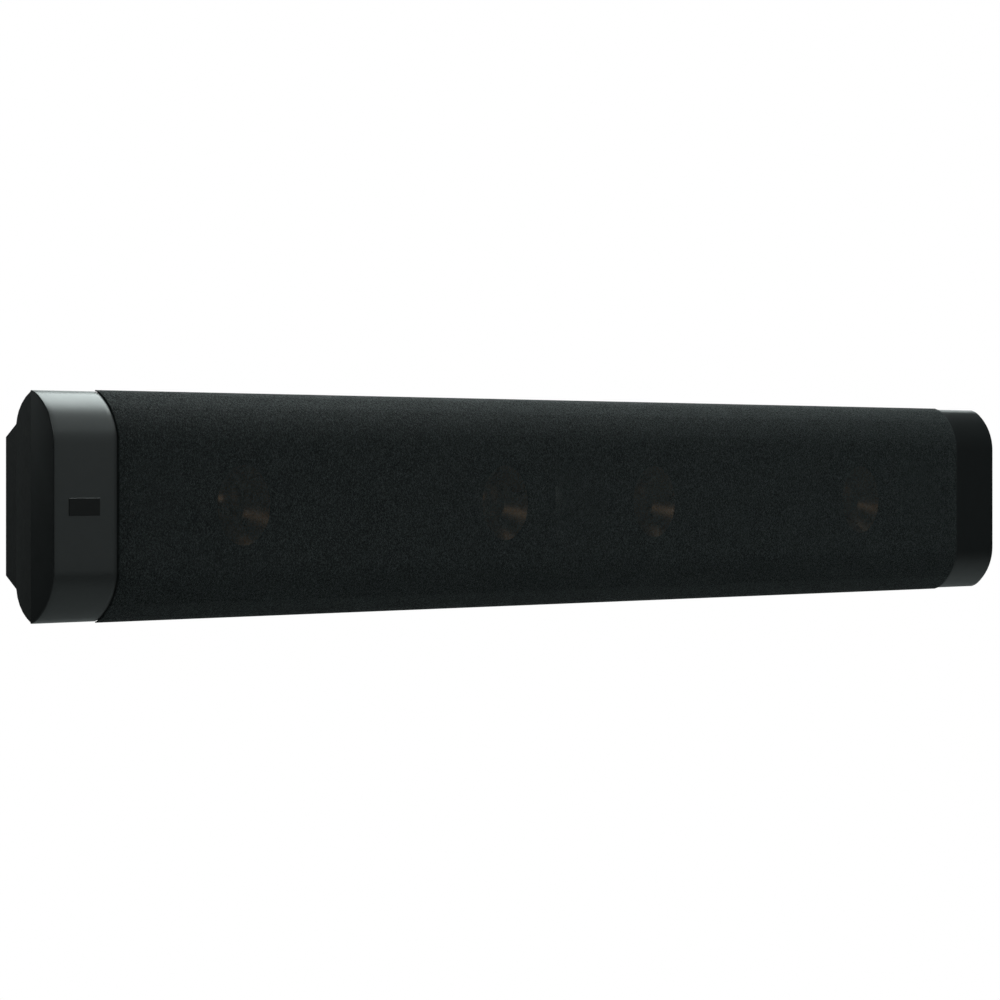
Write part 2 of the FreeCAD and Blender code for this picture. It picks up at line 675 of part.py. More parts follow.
def front_baffle():
    """Board that carries the drivers, with a thin rim that closes on the cabinet."""
    half = cap_edge_x - s["fit_gap"]
    thickness = baffle_back_y - baffle_y
    plate = recess_box("baffle_plate", as_size(0.0), as_size(0.0), 2 * half, s["baffle_height"],
                       baffle_y, thickness)
    rim = recess_box("baffle_rim", as_size(0.0), as_size(0.0), 2 * half,
                     s["bar_height"] - 2 * s["lip_step"], baffle_back_y - s["rim_thickness"],
                     s["rim_thickness"])
    tools = rods("baffle_pilot", BAFFLE_COLUMNS, BOSS_ROWS, baffle_back_y - s["screw_bite"], pilot_radius,
                 s["screw_bite"] + OVERRUN)
    tools += rods("woofer_hole", WOOFERS.values(), [0.0], baffle_y - OVERRUN,
                  s["basket_radius"] + s["fit_gap"], thickness + 2 * OVERRUN)
    for side, x in TWEETERS.items():
        width = s["horn_mouth"] + 2 * s["horn_wall"] + 2 * s["fit_gap"]
        tools.append(recess_box(f"horn_hole_{side}", x, as_size(0.0), width, width, baffle_y - OVERRUN,
                                thickness + 2 * OVERRUN))
    tools += rods("catch_pocket", PEG_COLUMNS, PEG_Z, baffle_y,
                  s["magnet_radius"] + s["glue_gap"], s["magnet_thickness"])
    for side, x in list(WOOFERS.items()) + list(TWEETERS.items()):
        reach = woofer_screw_reach if side in WOOFERS else s["horn_screw"]
        tools += rods(f"driver_pilot_{side}", [x - reach, x + reach], [-reach, reach], baffle_y,
                      small_pilot_radius, s["screw_bite"])
    return cut("front_baffle", fuse("baffle_blank", [plate, rim]), tools)


def end_cap(side, direction):
    """Moulded end of the bar, open at the ridge, with two screw bosses."""
    name = f"{side}_end_cap"
    outer_x = half_length * direction
    start = -half_length if direction < 0 else cap_edge_x
    outside = front_solid(name + "_outside", as_size(0.0), start, s["cap_width"])
    inside = front_solid(name + "_inside", -s["cap_wall"], start + s["cap_wall"],
                         s["cap_width"] - 2 * s["cap_wall"], 2 * OVERRUN)
    column = [outer_x - direction * s["cap_boss_x"]]
    bosses = rods(name + "_boss", column, BOSS_ROWS, front_y + s["cap_wall"] - s["glue_gap"],
                  s["boss_radius"], s["ridge_depth"] - s["cap_wall"] + s["glue_gap"])
    body = fuse(name + "_with_bosses", [cut(name + "_shell", outside, [inside])] + bosses)
    tools = rods(name + "_pilot", column, BOSS_ROWS, ridge_y - s["screw_bite"] - OVERRUN, pilot_radius,
                 s["screw_bite"] + 2 * OVERRUN)
    if side == "left":
        gap = 2 * s["glue_gap"]
        tools.append(recess_box("badge_pocket", -half_length + s["badge_x"], as_size(0.0),
                                s["badge_width"] + gap, s["badge_height"] + gap, front_y, s["badge_recess"]))
    return cut(name, body, tools)


def gasket():
    """Foam strips between the baffle's rim and the cabinet."""
    half = cap_edge_x - s["fit_gap"]
    middle = half_height - s["lip_step"] - s["cabinet_wall"] / 2
    strips = [
        recess_box(f"gasket_{edge}", as_size(0.0), side * middle, 2 * half, s["gasket_width"],
                   baffle_back_y, s["gasket_thickness"])
        for edge, side in (("top", 1), ("bottom", -1))
    ]
    return group("baffle_gasket", strips)


def chamber_dividers():
    """Walls between the left, centre and right chambers, with a hole for the loom."""
    walls = []
    for number, x in enumerate(mirrored_x(s["mullion_x"])):
        inside = hull(f"divider_outline_{number}", s["cabinet_wall"] + s["fit_gap"], ridge_y - 1,
                      inner_rear_y - s["glue_gap"])
        slab = box(f"divider_slab_{number}",
                   (x - s["divider_thickness"] / 2, baffle_back_y + s["fit_gap"], -half_height),
                   (s["divider_thickness"], s["cabinet_depth"], s["bar_height"]))
        hole = rod_along_x(f"divider_hole_{number}", (x - s["divider_thickness"], loom_y, s["loom_z"]),
                           s["loom_radius"] + s["fit_gap"], 2 * s["divider_thickness"])
        walls.append(cut(f"divider_{number}", common(f"divider_blank_{number}", [inside, slab]), [hole]))
    return group("chamber_dividers", walls)


keep("rear_cabinet", rear_cabinet())
keep("front_baffle", front_baffle())
keep("left_end_cap", end_cap("left", -1))
keep("right_end_cap", end_cap("right", 1))
keep("baffle_gasket", gasket())
keep("chamber_dividers", chamber_dividers())
keep("badge_plate", recess_box("badge_plate", -half_length + s["badge_x"], as_size(0.0), s["badge_width"],
                               s["badge_height"], front_y + s["badge_recess"] - s["badge_thickness"],
                               s["badge_thickness"]))
keep("damping_pads", group("damping_pads", [
    recess_box(f"damping_pad_{number}", x, as_size(0.0), s["damping_width"], s["damping_height"],
               inner_rear_y - s["fit_gap"] - s["damping_thickness"], s["damping_thickness"])
    for number, x in enumerate(mirrored_x(s["damping_x"]))
]))
corner_pads = rods("wall_pad", mirrored_x(s["wall_pad_x"]), [-s["wall_pad_z"], s["wall_pad_z"]], rear_y,
                   s["wall_pad_radius"], s["pad_height"])
middle_pad = rod("wall_pad_middle", (0.0, rear_y, 0.0), s["wall_pad_radius"], s["pad_height"])
keep("wall_pads", group("wall_pads", corner_pads + [middle_pad]))


# ---------------------------------------------------------------- grille

grille_half = cap_edge_x - s["grille_end_gap"]


def grille_frame():
    """Moulded frame under the cloth: rails, uprights and pegs for the magnets."""
    skin = front_skin("frame_skin", s["grille_proud"] - s["cloth_thickness"] - s["glue_gap"],
                      s["frame_thickness"], -grille_half, 2 * grille_half)
    edges = [-grille_half + s["mullion_width"], -s["mullion_x"] - s["mullion_width"] / 2,
             -s["mullion_x"] + s["mullion_width"] / 2, s["mullion_x"] - s["mullion_width"] / 2,
             s["mullion_x"] + s["mullion_width"] / 2, grille_half - s["mullion_width"]]
    windows = [
        box(f"frame_window_{number}", (low, front_y - 2 * OVERRUN, -s["window_height"] / 2),
            (high - low, s["baffle_setback"], s["window_height"]))
        for number, (low, high) in enumerate(zip(edges[0::2], edges[1::2]))
    ]
    peg_length = s["baffle_setback"] - s["fit_gap"] - s["peg_start"]
    pegs = rods("frame_peg", PEG_COLUMNS, PEG_Z, front_y + s["peg_start"], s["peg_radius"], peg_length)
    body = fuse("frame_with_pegs", [cut("frame_rails", skin, windows)] + pegs)
    pockets = rods("peg_pocket", PEG_COLUMNS, PEG_Z, baffle_y - s["fit_gap"] - s["magnet_thickness"],
                   s["magnet_radius"] + s["glue_gap"], s["magnet_thickness"] + OVERRUN)
    return cut("grille_frame", body, pockets)


keep("grille_frame", grille_frame())
keep("grille_cloth", front_skin("grille_cloth", s["grille_proud"], s["cloth_thickness"],
                                -grille_half, 2 * grille_half))
keep("grille_magnets", group("grille_magnets", rods(
    "grille_magnet", PEG_COLUMNS, PEG_Z,
    baffle_y - s["fit_gap"] - s["magnet_thickness"], s["magnet_radius"], s["magnet_thickness"])))
keep("catch_magnets", group("catch_magnets", rods(
    "catch_magnet", PEG_COLUMNS, PEG_Z, baffle_y, s["magnet_radius"], s["magnet_thickness"])))


# ---------------------------------------------------------------- woofers

flange_y = baffle_y - s["flange_thickness"]
top_plate_y = baffle_y + s["basket_depth"]
woofer_magnet_y = top_plate_y + s["plate_thickness"]
back_plate_y = woofer_magnet_y + s["woofer_magnet_thickness"]
coil_outer = s["coil_radius"] + s["winding"]
neck_radius = s["coil_radius"] + s["glue_gap"]
cone_inner = s["cone_radius"] - s["cone_lip"]
cone_slope = (cone_inner - neck_radius) / s["cone_depth"]


# Bars cut straight across the basket, two windows each, and folds in the spider.
VENT_BARS = 3
PLEATS = 6


def basket(side, x):
    """Driver frame with six windows round its side."""
    foot = s["shelf_radius"] + s["basket_wall"]
    corners = [
        (s["basket_mouth"], flange_y), (s["flange_radius"], flange_y), (s["flange_radius"], baffle_y),
        (s["basket_radius"], baffle_y), (foot, baffle_y + s["shelf_depth"]), (foot, top_plate_y),
        (s["basket_hole"], top_plate_y), (s["basket_hole"], top_plate_y - s["basket_wall"]),
        (s["shelf_inner"], top_plate_y - s["basket_wall"]), (s["shelf_inner"], baffle_y + s["shelf_depth"]),
        (s["shelf_radius"], baffle_y + s["shelf_depth"]), (s["basket_mouth"], baffle_y),
    ]
    dish = place(turned(f"basket_dish_{side}", corners), x)
    reach = s["flange_radius"] + OVERRUN
    margin = s["basket_wall"]
    tools = []
    for number in range(VENT_BARS):
        bar = recess_box(f"vent_{side}_{number}", as_size(0.0), as_size(0.0), 2 * reach, s["vent_height"],
                         baffle_y + margin, s["shelf_depth"] - 2 * margin)
        angle = 180 / VENT_BARS * number
        spoke = turn(group(f"vent_turned_{side}_{number}", [bar]), Vector(0, 1, 0), angle)
        tools.append(place(spoke, x))
    tools += rods(f"flange_hole_{side}", [x - woofer_screw_reach, x + woofer_screw_reach],
                  [-woofer_screw_reach, woofer_screw_reach], flange_y - OVERRUN,
                  small_clearance_radius, s["flange_thickness"] + 2 * OVERRUN)
    return cut(f"basket_{side}", dish, tools)


def cone(side, x):
    """Paper-thin cone from its flat rim to the neck."""
    rim_y = flange_y
    corners = [
        (s["cone_radius"], rim_y), (cone_inner, rim_y), (neck_radius, rim_y + s["cone_depth"]),
        (neck_radius, rim_y + s["cone_depth"] + s["neck_sheet"]),
        (cone_inner + s["neck_sheet"] - s["cone_sheet"], rim_y + s["cone_sheet"]),
        (s["cone_radius"], rim_y + s["cone_sheet"]),
    ]
    return place(turned(f"woofer_cone_{side}", corners), x)


def ball(name, x, y, radius):
    """Sphere on the bar's centre line."""
    sphere = doc.addObject("Part::Sphere", name)
    sphere.setExpression("Radius", radius.text)
    return place(sphere, x, y, 0.0)


def crowned(name, x, radius, height, sheet_thickness, edge_y):
    """Dome of even thickness, its crown towards -Y and its edge at edge_y."""
    sphere_radius = (radius * radius + height * height) / (2 * height)
    centre_y = edge_y - height + sphere_radius
    shell = cut(name + "_shell", ball(name + "_outer", x, centre_y, sphere_radius),
                [ball(name + "_inner", x, centre_y, sphere_radius - sheet_thickness)])
    reach = rod(name + "_reach", (x, edge_y - height - OVERRUN, 0.0), radius, height + OVERRUN)
    return common(name, [shell, reach])


def surround(side, x):
    """Half-roll between the cone's rim and the basket's flange."""
    half_sheet = s["surround_sheet"] / 2
    roll_y = flange_y - s["surround_sheet"]
    outer_roll = s["roll_radius"] + half_sheet
    inner_roll = s["roll_radius"] - half_sheet
    middle = (s["cone_radius"] + s["basket_mouth"]) / 2
    land = s["basket_mouth"] + s["surround_land"]
    corners = [
        (cone_inner, roll_y), (middle - outer_roll, roll_y), (middle + outer_roll, roll_y),
        (land, roll_y), (land, flange_y), (middle + inner_roll, flange_y),
        (middle + inner_roll, roll_y), (middle - inner_roll, roll_y),
        (middle - inner_roll, flange_y), (cone_inner, flange_y),
    ]
    arcs = {1: (s["roll_flatness"] * outer_roll, 1), 6: (s["roll_flatness"] * inner_roll, -1)}
    return place(turned(f"surround_{side}", corners, arcs), x)


def spider(side, x):
    """Pleated ring that centres the coil."""
    inner = coil_outer + s["glue_gap"]
    outer = s["shelf_radius"] - s["fit_gap"]
    back_y = baffle_y + s["shelf_depth"]
    step = (outer - inner) / PLEATS
    rear = []
    front = []
    for number in range(PLEATS + 1):
        lift = s["spider_wave"] if number % 2 else as_size(0.0)
        rear.append((inner + number * step, back_y - lift))
        front.append((inner + number * step, back_y - lift - s["spider_sheet"]))
    return place(turned(f"spider_{side}", front + rear[::-1]), x)


def voice_coil(side, x):
    """Former with its winding at the back."""
    start = baffle_y + s["coil_start"]
    end = start + s["coil_length"]
    inner = s["coil_radius"] - s["coil_sheet"]
    corners = [
        (inner, start), (s["coil_radius"], start), (s["coil_radius"], end - s["winding_length"]),
        (coil_outer, end - s["winding_length"]), (coil_outer, end), (inner, end),
    ]
    return place(turned(f"voice_coil_{side}", corners), x)


def motor(side, x):
    """Top plate, ring magnet, and back plate with its pole."""
    radius = s["woofer_motor_radius"]
    top = place(tube(f"top_plate_{side}", s["air_gap_radius"], radius, top_plate_y,
                     s["plate_thickness"]), x)
    magnet = place(tube(f"ring_magnet_{side}", s["woofer_magnet_bore"], radius, woofer_magnet_y,
                        s["woofer_magnet_thickness"]), x)
    back = fuse(f"back_plate_{side}", [
        rod(f"back_disc_{side}", (x, back_plate_y, 0.0), radius, s["plate_thickness"]),
        rod(f"pole_{side}", (x, top_plate_y, 0.0), s["pole_radius"], back_plate_y - top_plate_y),
    ])
    return [top, back], [magnet]


baskets = []
steels = []
magnets = []
surrounds = []
spiders = []
dust_cap_edge_y = flange_y + (cone_inner - s["dust_cap_radius"]) / cone_slope
for side, x in WOOFERS.items():
    baskets.append(basket(side, x))
    surrounds.append(surround(side, x))
    spiders.append(spider(side, x))
    side_steels, side_magnets = motor(side, x)
    steels += side_steels
    magnets += side_magnets
    keep(f"woofer_cone_{side}", cone(side, x))
    keep(f"dust_cap_{side}", crowned(f"dust_cap_{side}", x, s["dust_cap_radius"], s["dust_cap_height"],
                                     s["dust_cap_sheet"], dust_cap_edge_y - s["dust_cap_sheet"]))
    keep(f"voice_coil_{side}", voice_coil(side, x))
keep("woofer_baskets", group("woofer_baskets", baskets))
keep("woofer_surrounds", group("woofer_surrounds", surrounds))
keep("woofer_spiders", group("woofer_spiders", spiders))
keep("woofer_pole_plates", group("woofer_pole_plates", steels))
keep("woofer_magnets", group("woofer_magnets", magnets))


# ---------------------------------------------------------------- tweeters

horn_face_y = baffle_y - s["horn_plate"]
throat_y = baffle_y + s["horn_depth"]
horn_back_y = throat_y + s["horn_ring_thickness"]
edge_ring_inner = s["dome_radius"] + s["glue_gap"]
tweeter_top_y = horn_back_y + s["edge_ring_sheet"]
tweeter_magnet_y = tweeter_top_y + s["tweeter_plate"]
tweeter_back_y = tweeter_magnet_y + s["tweeter_magnet_thickness"]
dome_bore = s["dome_radius"] + s["dome_gap"]


def horn(side, x):
    """Square horn on its face plate, with a ring for the motor behind its throat."""
    flare_length = s["horn_plate"] + s["horn_depth"]
    plate = recess_box(f"horn_plate_{side}", x, as_size(0.0), s["horn_width"], s["horn_width"],
                       horn_face_y, s["horn_plate"])
    flare = frustum(f"horn_flare_{side}", x, horn_face_y, s["horn_mouth"] + 2 * s["horn_wall"],
                    s["horn_throat"] + 2 * s["horn_wall"], flare_length)
    ring = rod(f"horn_ring_{side}", (x, throat_y, 0.0), s["horn_ring_radius"], s["horn_ring_thickness"])
    tools = [
        frustum(f"horn_air_{side}", x, horn_face_y, s["horn_mouth"], s["horn_throat"], flare_length),
        rod(f"throat_{side}", (x, throat_y - OVERRUN, 0.0), dome_bore,
            s["horn_ring_thickness"] + 2 * OVERRUN),
    ]
    tools += rods(f"horn_screw_hole_{side}", [x - s["horn_screw"], x + s["horn_screw"]],
                  [-s["horn_screw"], s["horn_screw"]], horn_face_y - OVERRUN,
                  small_clearance_radius, s["horn_plate"] + 2 * OVERRUN)
    return cut(f"horn_{side}", fuse(f"horn_blank_{side}", [plate, flare, ring]), tools)


def tweeter_motor(side, x):
    """Top plate, ring magnet, and back plate with its pole, one behind the other."""
    radius = s["horn_ring_radius"]
    top = place(tube(f"tweeter_top_{side}", dome_bore, radius, tweeter_top_y, s["tweeter_plate"]), x)
    magnet = place(tube(f"tweeter_magnet_{side}", s["tweeter_magnet_bore"], radius, tweeter_magnet_y,
                        s["tweeter_magnet_thickness"]), x)
    back = fuse(f"tweeter_back_{side}", [
        rod(f"tweeter_disc_{side}", (x, tweeter_back_y, 0.0), radius, s["tweeter_plate"]),
        rod(f"tweeter_pole_{side}", (x, tweeter_top_y, 0.0),
            s["dome_radius"] - s["dome_sheet"] - s["dome_gap"], tweeter_back_y - tweeter_top_y),
    ])
    return [top, magnet, back]


def tweeter_dome(side, x):
    """Dome and its former in one thin drawing."""
    crown = crowned(f"dome_crown_{side}", x, s["dome_radius"], s["dome_height"], s["dome_sheet"],
                    horn_back_y)
    former = tube(f"dome_former_{side}", s["dome_radius"] - s["dome_sheet"], s["dome_radius"], horn_back_y,
                  s["dome_former"])
    return fuse(f"tweeter_dome_{side}", [crown, place(former, x)])


horns = []
tweeter_motors = []
edge_rings = []
for side, x in TWEETERS.items():
    horns.append(horn(side, x))
    tweeter_motors += tweeter_motor(side, x)
    edge_rings.append(place(tube(f"edge_ring_{side}", edge_ring_inner, s["edge_ring_radius"], horn_back_y,
                                 s["edge_ring_sheet"]), x))
    keep(f"tweeter_dome_{side}", tweeter_dome(side, x))
keep("tweeter_horns", group("tweeter_horns", horns))
keep("tweeter_motors", group("tweeter_motors", tweeter_motors))
keep("tweeter_edge_rings", group("tweeter_edge_rings", edge_rings))


# ---------------------------------------------------------------- terminals

cup_floor_y = rear_y - s["cup_depth"]
post_seat_y = cup_floor_y + s["cup_floor"]
CHANNELS = {
    "left": s["terminal_x"] + s["post_pitch_x"],
    "centre": s["terminal_x"],
    "right": s["terminal_x"] - s["post_pitch_x"],
}
POLES = {"plus": s["post_pitch_z"] / 2, "minus": -s["post_pitch_z"] / 2}


def terminal_cup():
    """Recessed cup with a flange let into the cabinet's rear face."""
    x = s["terminal_x"]
    middle = as_size(0.0)
    outside = recess_box("cup_outside", x, middle, s["cup_width"], s["cup_height"], cup_floor_y,
                         s["cup_depth"])
    flange = recess_box("cup_flange_plate", x, middle, s["cup_width"] + 2 * s["cup_flange"],
                        s["cup_height"] + 2 * s["cup_flange"], rear_y - s["cup_flange_thickness"],
                        s["cup_flange_thickness"])
    inside = recess_box("cup_inside", x, middle, s["cup_width"] - 2 * s["cup_wall"],
                        s["cup_height"] - 2 * s["cup_wall"], post_seat_y, s["cup_depth"])
    tools = [inside]
    tools += rods("cup_post_hole", CHANNELS.values(), POLES.values(), cup_floor_y - OVERRUN,
                  s["post_radius"] + s["pilot_clearance"], s["cup_floor"] + 2 * OVERRUN)
    tools += rods("cup_flange_hole", CUP_SCREW_X, CUP_SCREW_Z, inner_rear_y,
                  small_clearance_radius, s["rear_wall"] + OVERRUN)
    return cut("terminal_cup", fuse("cup_blank", [outside, flange]), tools)


def post(name, x, z):
    """Threaded post, shown at its thread's crest, with a collar and a socket in its end."""
    stud = rod(name + "_stud", (x, cup_floor_y - s["post_tail"], z), s["post_radius"],
               s["post_tail"] + s["cup_floor"] + s["post_length"])
    collar = rod(name + "_collar", (x, post_seat_y, z), s["collar_radius"], s["collar_height"])
    socket = rod(name + "_socket", (x, post_seat_y + s["post_length"] - s["banana_depth"], z),
                 s["banana_radius"], s["banana_depth"] + OVERRUN)
    return cut(name, fuse(name + "_blank", [stud, collar]), [socket])


washer_y = post_seat_y + s["collar_height"]
knob_y = washer_y + s["washer_thickness"]
keep("terminal_cup", terminal_cup())
keep("terminal_posts", group("terminal_posts", columns("post", CHANNELS.values(), POLES.values(), post)))
for channel, x in CHANNELS.items():
    for pole, z in POLES.items():
        washer = tube(f"post_washer_{channel}_{pole}", s["post_radius"] + s["washer_clearance"],
                      s["washer_radius"], washer_y, s["washer_thickness"])
        keep(f"post_washer_{channel}_{pole}", place(washer, x, 0.0, z))
        knob = tube(f"post_knob_{channel}_{pole}", s["post_radius"] + s["knob_clearance"], s["knob_radius"],
                    knob_y, s["knob_length"])
        keep(f"post_knob_{channel}_{pole}", place(knob, x, 0.0, z))


# ---------------------------------------------------------------- crossover and wiring

PART_COLUMNS = [board_x + step * s["part_pitch"] for step in (-1, 0, 1)]


def crossover_board():
    """Board on its standoffs."""
    slab = recess_box("board_slab", board_x, as_size(0.0), s["board_width"], s["board_height"], board_y,
                      s["board_thickness"])
    holes = rods("board_hole", STANDOFF_X, STANDOFF_Z, board_y - OVERRUN,
                 small_clearance_radius, s["board_thickness"] + 2 * OVERRUN)
    return cut("crossover_board", slab, holes)


def inductor(name, x, z):
    """Air-cored coil standing on the board."""
    ring = tube(name, s["inductor_bore"], s["inductor_radius"], board_y - s["inductor_height"],
                s["inductor_height"])
    return place(ring, x, 0.0, z)


def capacitor(name, x, z):
    """Film capacitor lying along the board."""
    start = (x - s["capacitor_length"] / 2, board_y - s["capacitor_radius"] - s["glue_gap"], z)
    return rod_along_x(name, start, s["capacitor_radius"], s["capacitor_length"])


def loom_run(number, start, end):
    """Straight bundle of leads along the rear wall."""
    return rod_along_x(f"loom_{number}", (start, loom_y, s["loom_z"]), s["loom_radius"], end - start)


cup_half = s["cup_width"] / 2 + s["fit_gap"]
board_half = s["board_width"] / 2 + s["fit_gap"]
LOOM_RUNS = [
    (-s["tweeter_x"], board_x - board_half),
    (board_x + board_half, s["terminal_x"] - cup_half),
    (s["terminal_x"] + cup_half, s["tweeter_x"]),
]
keep("crossover_board", crossover_board())
keep("crossover_inductors", group("crossover_inductors",
                                  columns("inductor", PART_COLUMNS, [s["part_row_z"]], inductor)))
keep("crossover_capacitors", group("crossover_capacitors",
                                   columns("capacitor", PART_COLUMNS, [-s["part_row_z"]], capacitor)))
keep("wire_loom", group("wire_loom", [loom_run(number, *run) for number, run in enumerate(LOOM_RUNS)]))


# ---------------------------------------------------------------- wall fixings and fasteners

def keyhole_cup(number, x):
    """Closed cup in the rear wall whose face has a keyhole."""
    middle = as_size(0.0)
    depth = s["keyhole_cup_depth"]
    block = recess_box(f"keyhole_block_{number}", x, middle, s["keyhole_cup_width"],
                       s["keyhole_cup_height"], rear_y - depth, depth)
    wall = 2 * s["keyhole_wall"]
    hollow = recess_box(f"keyhole_hollow_{number}", x, middle, s["keyhole_cup_width"] - wall,
                        s["keyhole_cup_height"] - wall, rear_y - depth + s["keyhole_wall"],
                        depth - s["keyhole_wall"] - s["keyhole_plate"])
    cut_start = rear_y - s["keyhole_plate"] - s["fit_gap"]
    cut_depth = s["keyhole_plate"] + 2 * s["fit_gap"]
    entry_z = -s["keyhole_entry_drop"]
    end_z = entry_z + s["keyhole_slot_rise"]
    entry = rod(f"keyhole_entry_{number}", (x, cut_start, entry_z), s["keyhole_entry_radius"], cut_depth)
    end = rod(f"keyhole_end_{number}", (x, cut_start, end_z), s["keyhole_slot_radius"], cut_depth)
    slot = box(f"keyhole_slot_{number}", (x - s["keyhole_slot_radius"], cut_start, entry_z),
               (2 * s["keyhole_slot_radius"], cut_depth, s["keyhole_slot_rise"]))
    return cut(f"keyhole_cup_{number}", block, [hollow, entry, end, slot])


def threaded_insert(name, x, z):
    """Brass insert, flush with the rear face."""
    ring = tube(name, s["insert_bore"], s["insert_radius"], rear_y - s["insert_length"], s["insert_length"])
    return place(ring, x, 0.0, z)


def cabinet_screw(holds_y):
    """Maker of a long screw from the rear face into the piece whose back is at holds_y."""
    seat = rear_y - s["counterbore_depth"]
    shank = seat - holds_y + s["screw_bite"] - s["tip_gap"]
    return lambda name, x, z: screw(name, x, z, seat, shank, s["screw_radius"], s["head_radius"],
                                    s["head_height"], True)


def small_screw(seat, shank, from_rear):
    """Maker of a small screw whose head bears on y = seat."""
    return lambda name, x, z: screw(name, x, z, seat, shank, s["small_screw_radius"],
                                    s["small_head_radius"], s["small_head_height"], from_rear)


keep("keyhole_cups", group("keyhole_cups", [
    keyhole_cup(number, x) for number, x in enumerate(mirrored_x(s["keyhole_x"]))
]))
keep("bracket_inserts", group("bracket_inserts", columns(
    "insert", mirrored_x(s["insert_x"]), INSERT_Z, threaded_insert)))
keep("cabinet_screws", group("cabinet_screws", (
    columns("baffle_screw", BAFFLE_COLUMNS, BOSS_ROWS, cabinet_screw(baffle_back_y))
    + columns("cap_screw", CAP_COLUMNS, BOSS_ROWS, cabinet_screw(ridge_y)))))
driver_screws = []
driver_shank = s["flange_thickness"] + s["screw_bite"] - s["tip_gap"]
for side, x in WOOFERS.items():
    driver_screws += columns(f"woofer_screw_{side}", [x - woofer_screw_reach, x + woofer_screw_reach],
                             [-woofer_screw_reach, woofer_screw_reach],
                             small_screw(flange_y, driver_shank, False))
for side, x in TWEETERS.items():
    driver_screws += columns(f"horn_screw_{side}", [x - s["horn_screw"], x + s["horn_screw"]],
                             [-s["horn_screw"], s["horn_screw"]],
                             small_screw(horn_face_y, driver_shank, False))
keep("driver_screws", group("driver_screws", driver_screws))
keep("inner_screws", group("inner_screws", columns(
    "board_screw", STANDOFF_X, STANDOFF_Z,
    small_screw(board_y, s["board_thickness"] + s["standoff"] - s["tip_gap"], False))))
keep("cup_screws", group("cup_screws", columns(
    "cup_screw", CUP_SCREW_X, CUP_SCREW_Z, small_screw(rear_y, s["rear_wall"] - s["tip_gap"], True))))


# ---------------------------------------------------------------- check and write

doc.recompute()
faults = [thing.Name for thing in doc.Objects if {"Invalid", "Error"} & set(thing.State)]
for name, thing in NODES.items():
    if thing.Shape.isNull() or not thing.Shape.isValid() or not thing.Shape.Solids:
        faults.append(name)
if faults:
    raise RuntimeError("objects with faults: " + ", ".join(faults))
os.makedirs("parts", exist_ok=True)
for name, thing in NODES.items():
    thing.Shape.exportStep(f"parts/{name}.step")
    print(f"{name}: {len(thing.Shape.Solids)} solids, {thing.Shape.Volume / 1000:.2f} cm3")
print(f"{len(NODES)} nodes")
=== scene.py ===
"""Looks of the soundbar: finishes for the carried-over pieces, modelled pieces for what shows, camera and light."""
import json
import math

import bmesh
import bpy
from mathutils import Matrix, Vector


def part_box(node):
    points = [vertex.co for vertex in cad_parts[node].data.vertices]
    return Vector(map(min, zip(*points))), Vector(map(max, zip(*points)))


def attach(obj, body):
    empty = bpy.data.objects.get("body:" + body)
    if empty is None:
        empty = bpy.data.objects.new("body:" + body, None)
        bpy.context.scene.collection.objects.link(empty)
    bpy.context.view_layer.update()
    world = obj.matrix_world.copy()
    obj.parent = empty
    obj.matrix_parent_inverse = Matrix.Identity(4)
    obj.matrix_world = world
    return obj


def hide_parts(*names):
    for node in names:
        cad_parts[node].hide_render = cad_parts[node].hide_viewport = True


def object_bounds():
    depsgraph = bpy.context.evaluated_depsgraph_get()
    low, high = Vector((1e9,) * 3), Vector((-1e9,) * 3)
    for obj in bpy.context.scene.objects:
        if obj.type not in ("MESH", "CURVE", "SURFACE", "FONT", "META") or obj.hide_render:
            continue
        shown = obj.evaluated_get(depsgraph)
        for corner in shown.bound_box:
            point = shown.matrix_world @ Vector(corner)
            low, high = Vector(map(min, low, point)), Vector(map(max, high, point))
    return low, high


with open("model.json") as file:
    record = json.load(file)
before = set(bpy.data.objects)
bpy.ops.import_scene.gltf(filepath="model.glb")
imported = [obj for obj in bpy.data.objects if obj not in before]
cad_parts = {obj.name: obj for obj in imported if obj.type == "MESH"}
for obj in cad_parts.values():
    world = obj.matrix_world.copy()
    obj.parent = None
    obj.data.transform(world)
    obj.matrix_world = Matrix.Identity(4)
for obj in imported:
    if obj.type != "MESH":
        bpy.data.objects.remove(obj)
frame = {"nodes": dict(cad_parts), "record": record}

CAD_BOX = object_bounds()
RECORD = frame["record"]

# ---------------------------------------------------------------- sizes, in metres

MM = 0.001
HALF_LENGTH = CAD_BOX[1].x
HALF_HEIGHT = CAD_BOX[1].z
CAP_FRONT_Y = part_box("left_end_cap")[0].y
RIDGE_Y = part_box("left_end_cap")[1].y
CAP_EDGE_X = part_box("right_end_cap")[0].x
REAR_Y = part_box("rear_cabinet")[1].y
GRILLE_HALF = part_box("grille_cloth")[1].x
GRILLE_FRONT_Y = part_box("grille_cloth")[0].y

# The front section: a flat face, a large curve as far as BEND, then a small one to the ridge.
FLAT_HALF = 42.5 * MM
BEND = math.radians(50.0)
RIDGE_SLOPE = math.radians(78.0)
CLOTH_SLOPE = math.radians(76.0)
LARGE_RADIUS = 41.85 * MM
SMALL_RADIUS = 16.21 * MM

WOOFER_SIDES = ("left_outer", "left_inner", "right_inner", "right_outer")
TWEETER_SIDES = ("left", "centre", "right")
CHANNELS = ("left", "centre", "right")
POLES = ("plus", "minus")


def middle_of(node):
    """Middle of a CAD node's box."""
    low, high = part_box(node)
    return (low + high) / 2


# ---------------------------------------------------------------- camera, stage and light

VIEW_YAW = math.radians(52.0)
CAMERA_PLACE = Vector((-2.618, -2.034, 0.0233))
CAMERA_LENS = 152.1
CAMERA_SHIFT_Y = -0.028
FLOOR_Z = -0.62
FLOOR_HALF = 14.0
LAMP_TINT = (0.90, 1.0, 0.985)


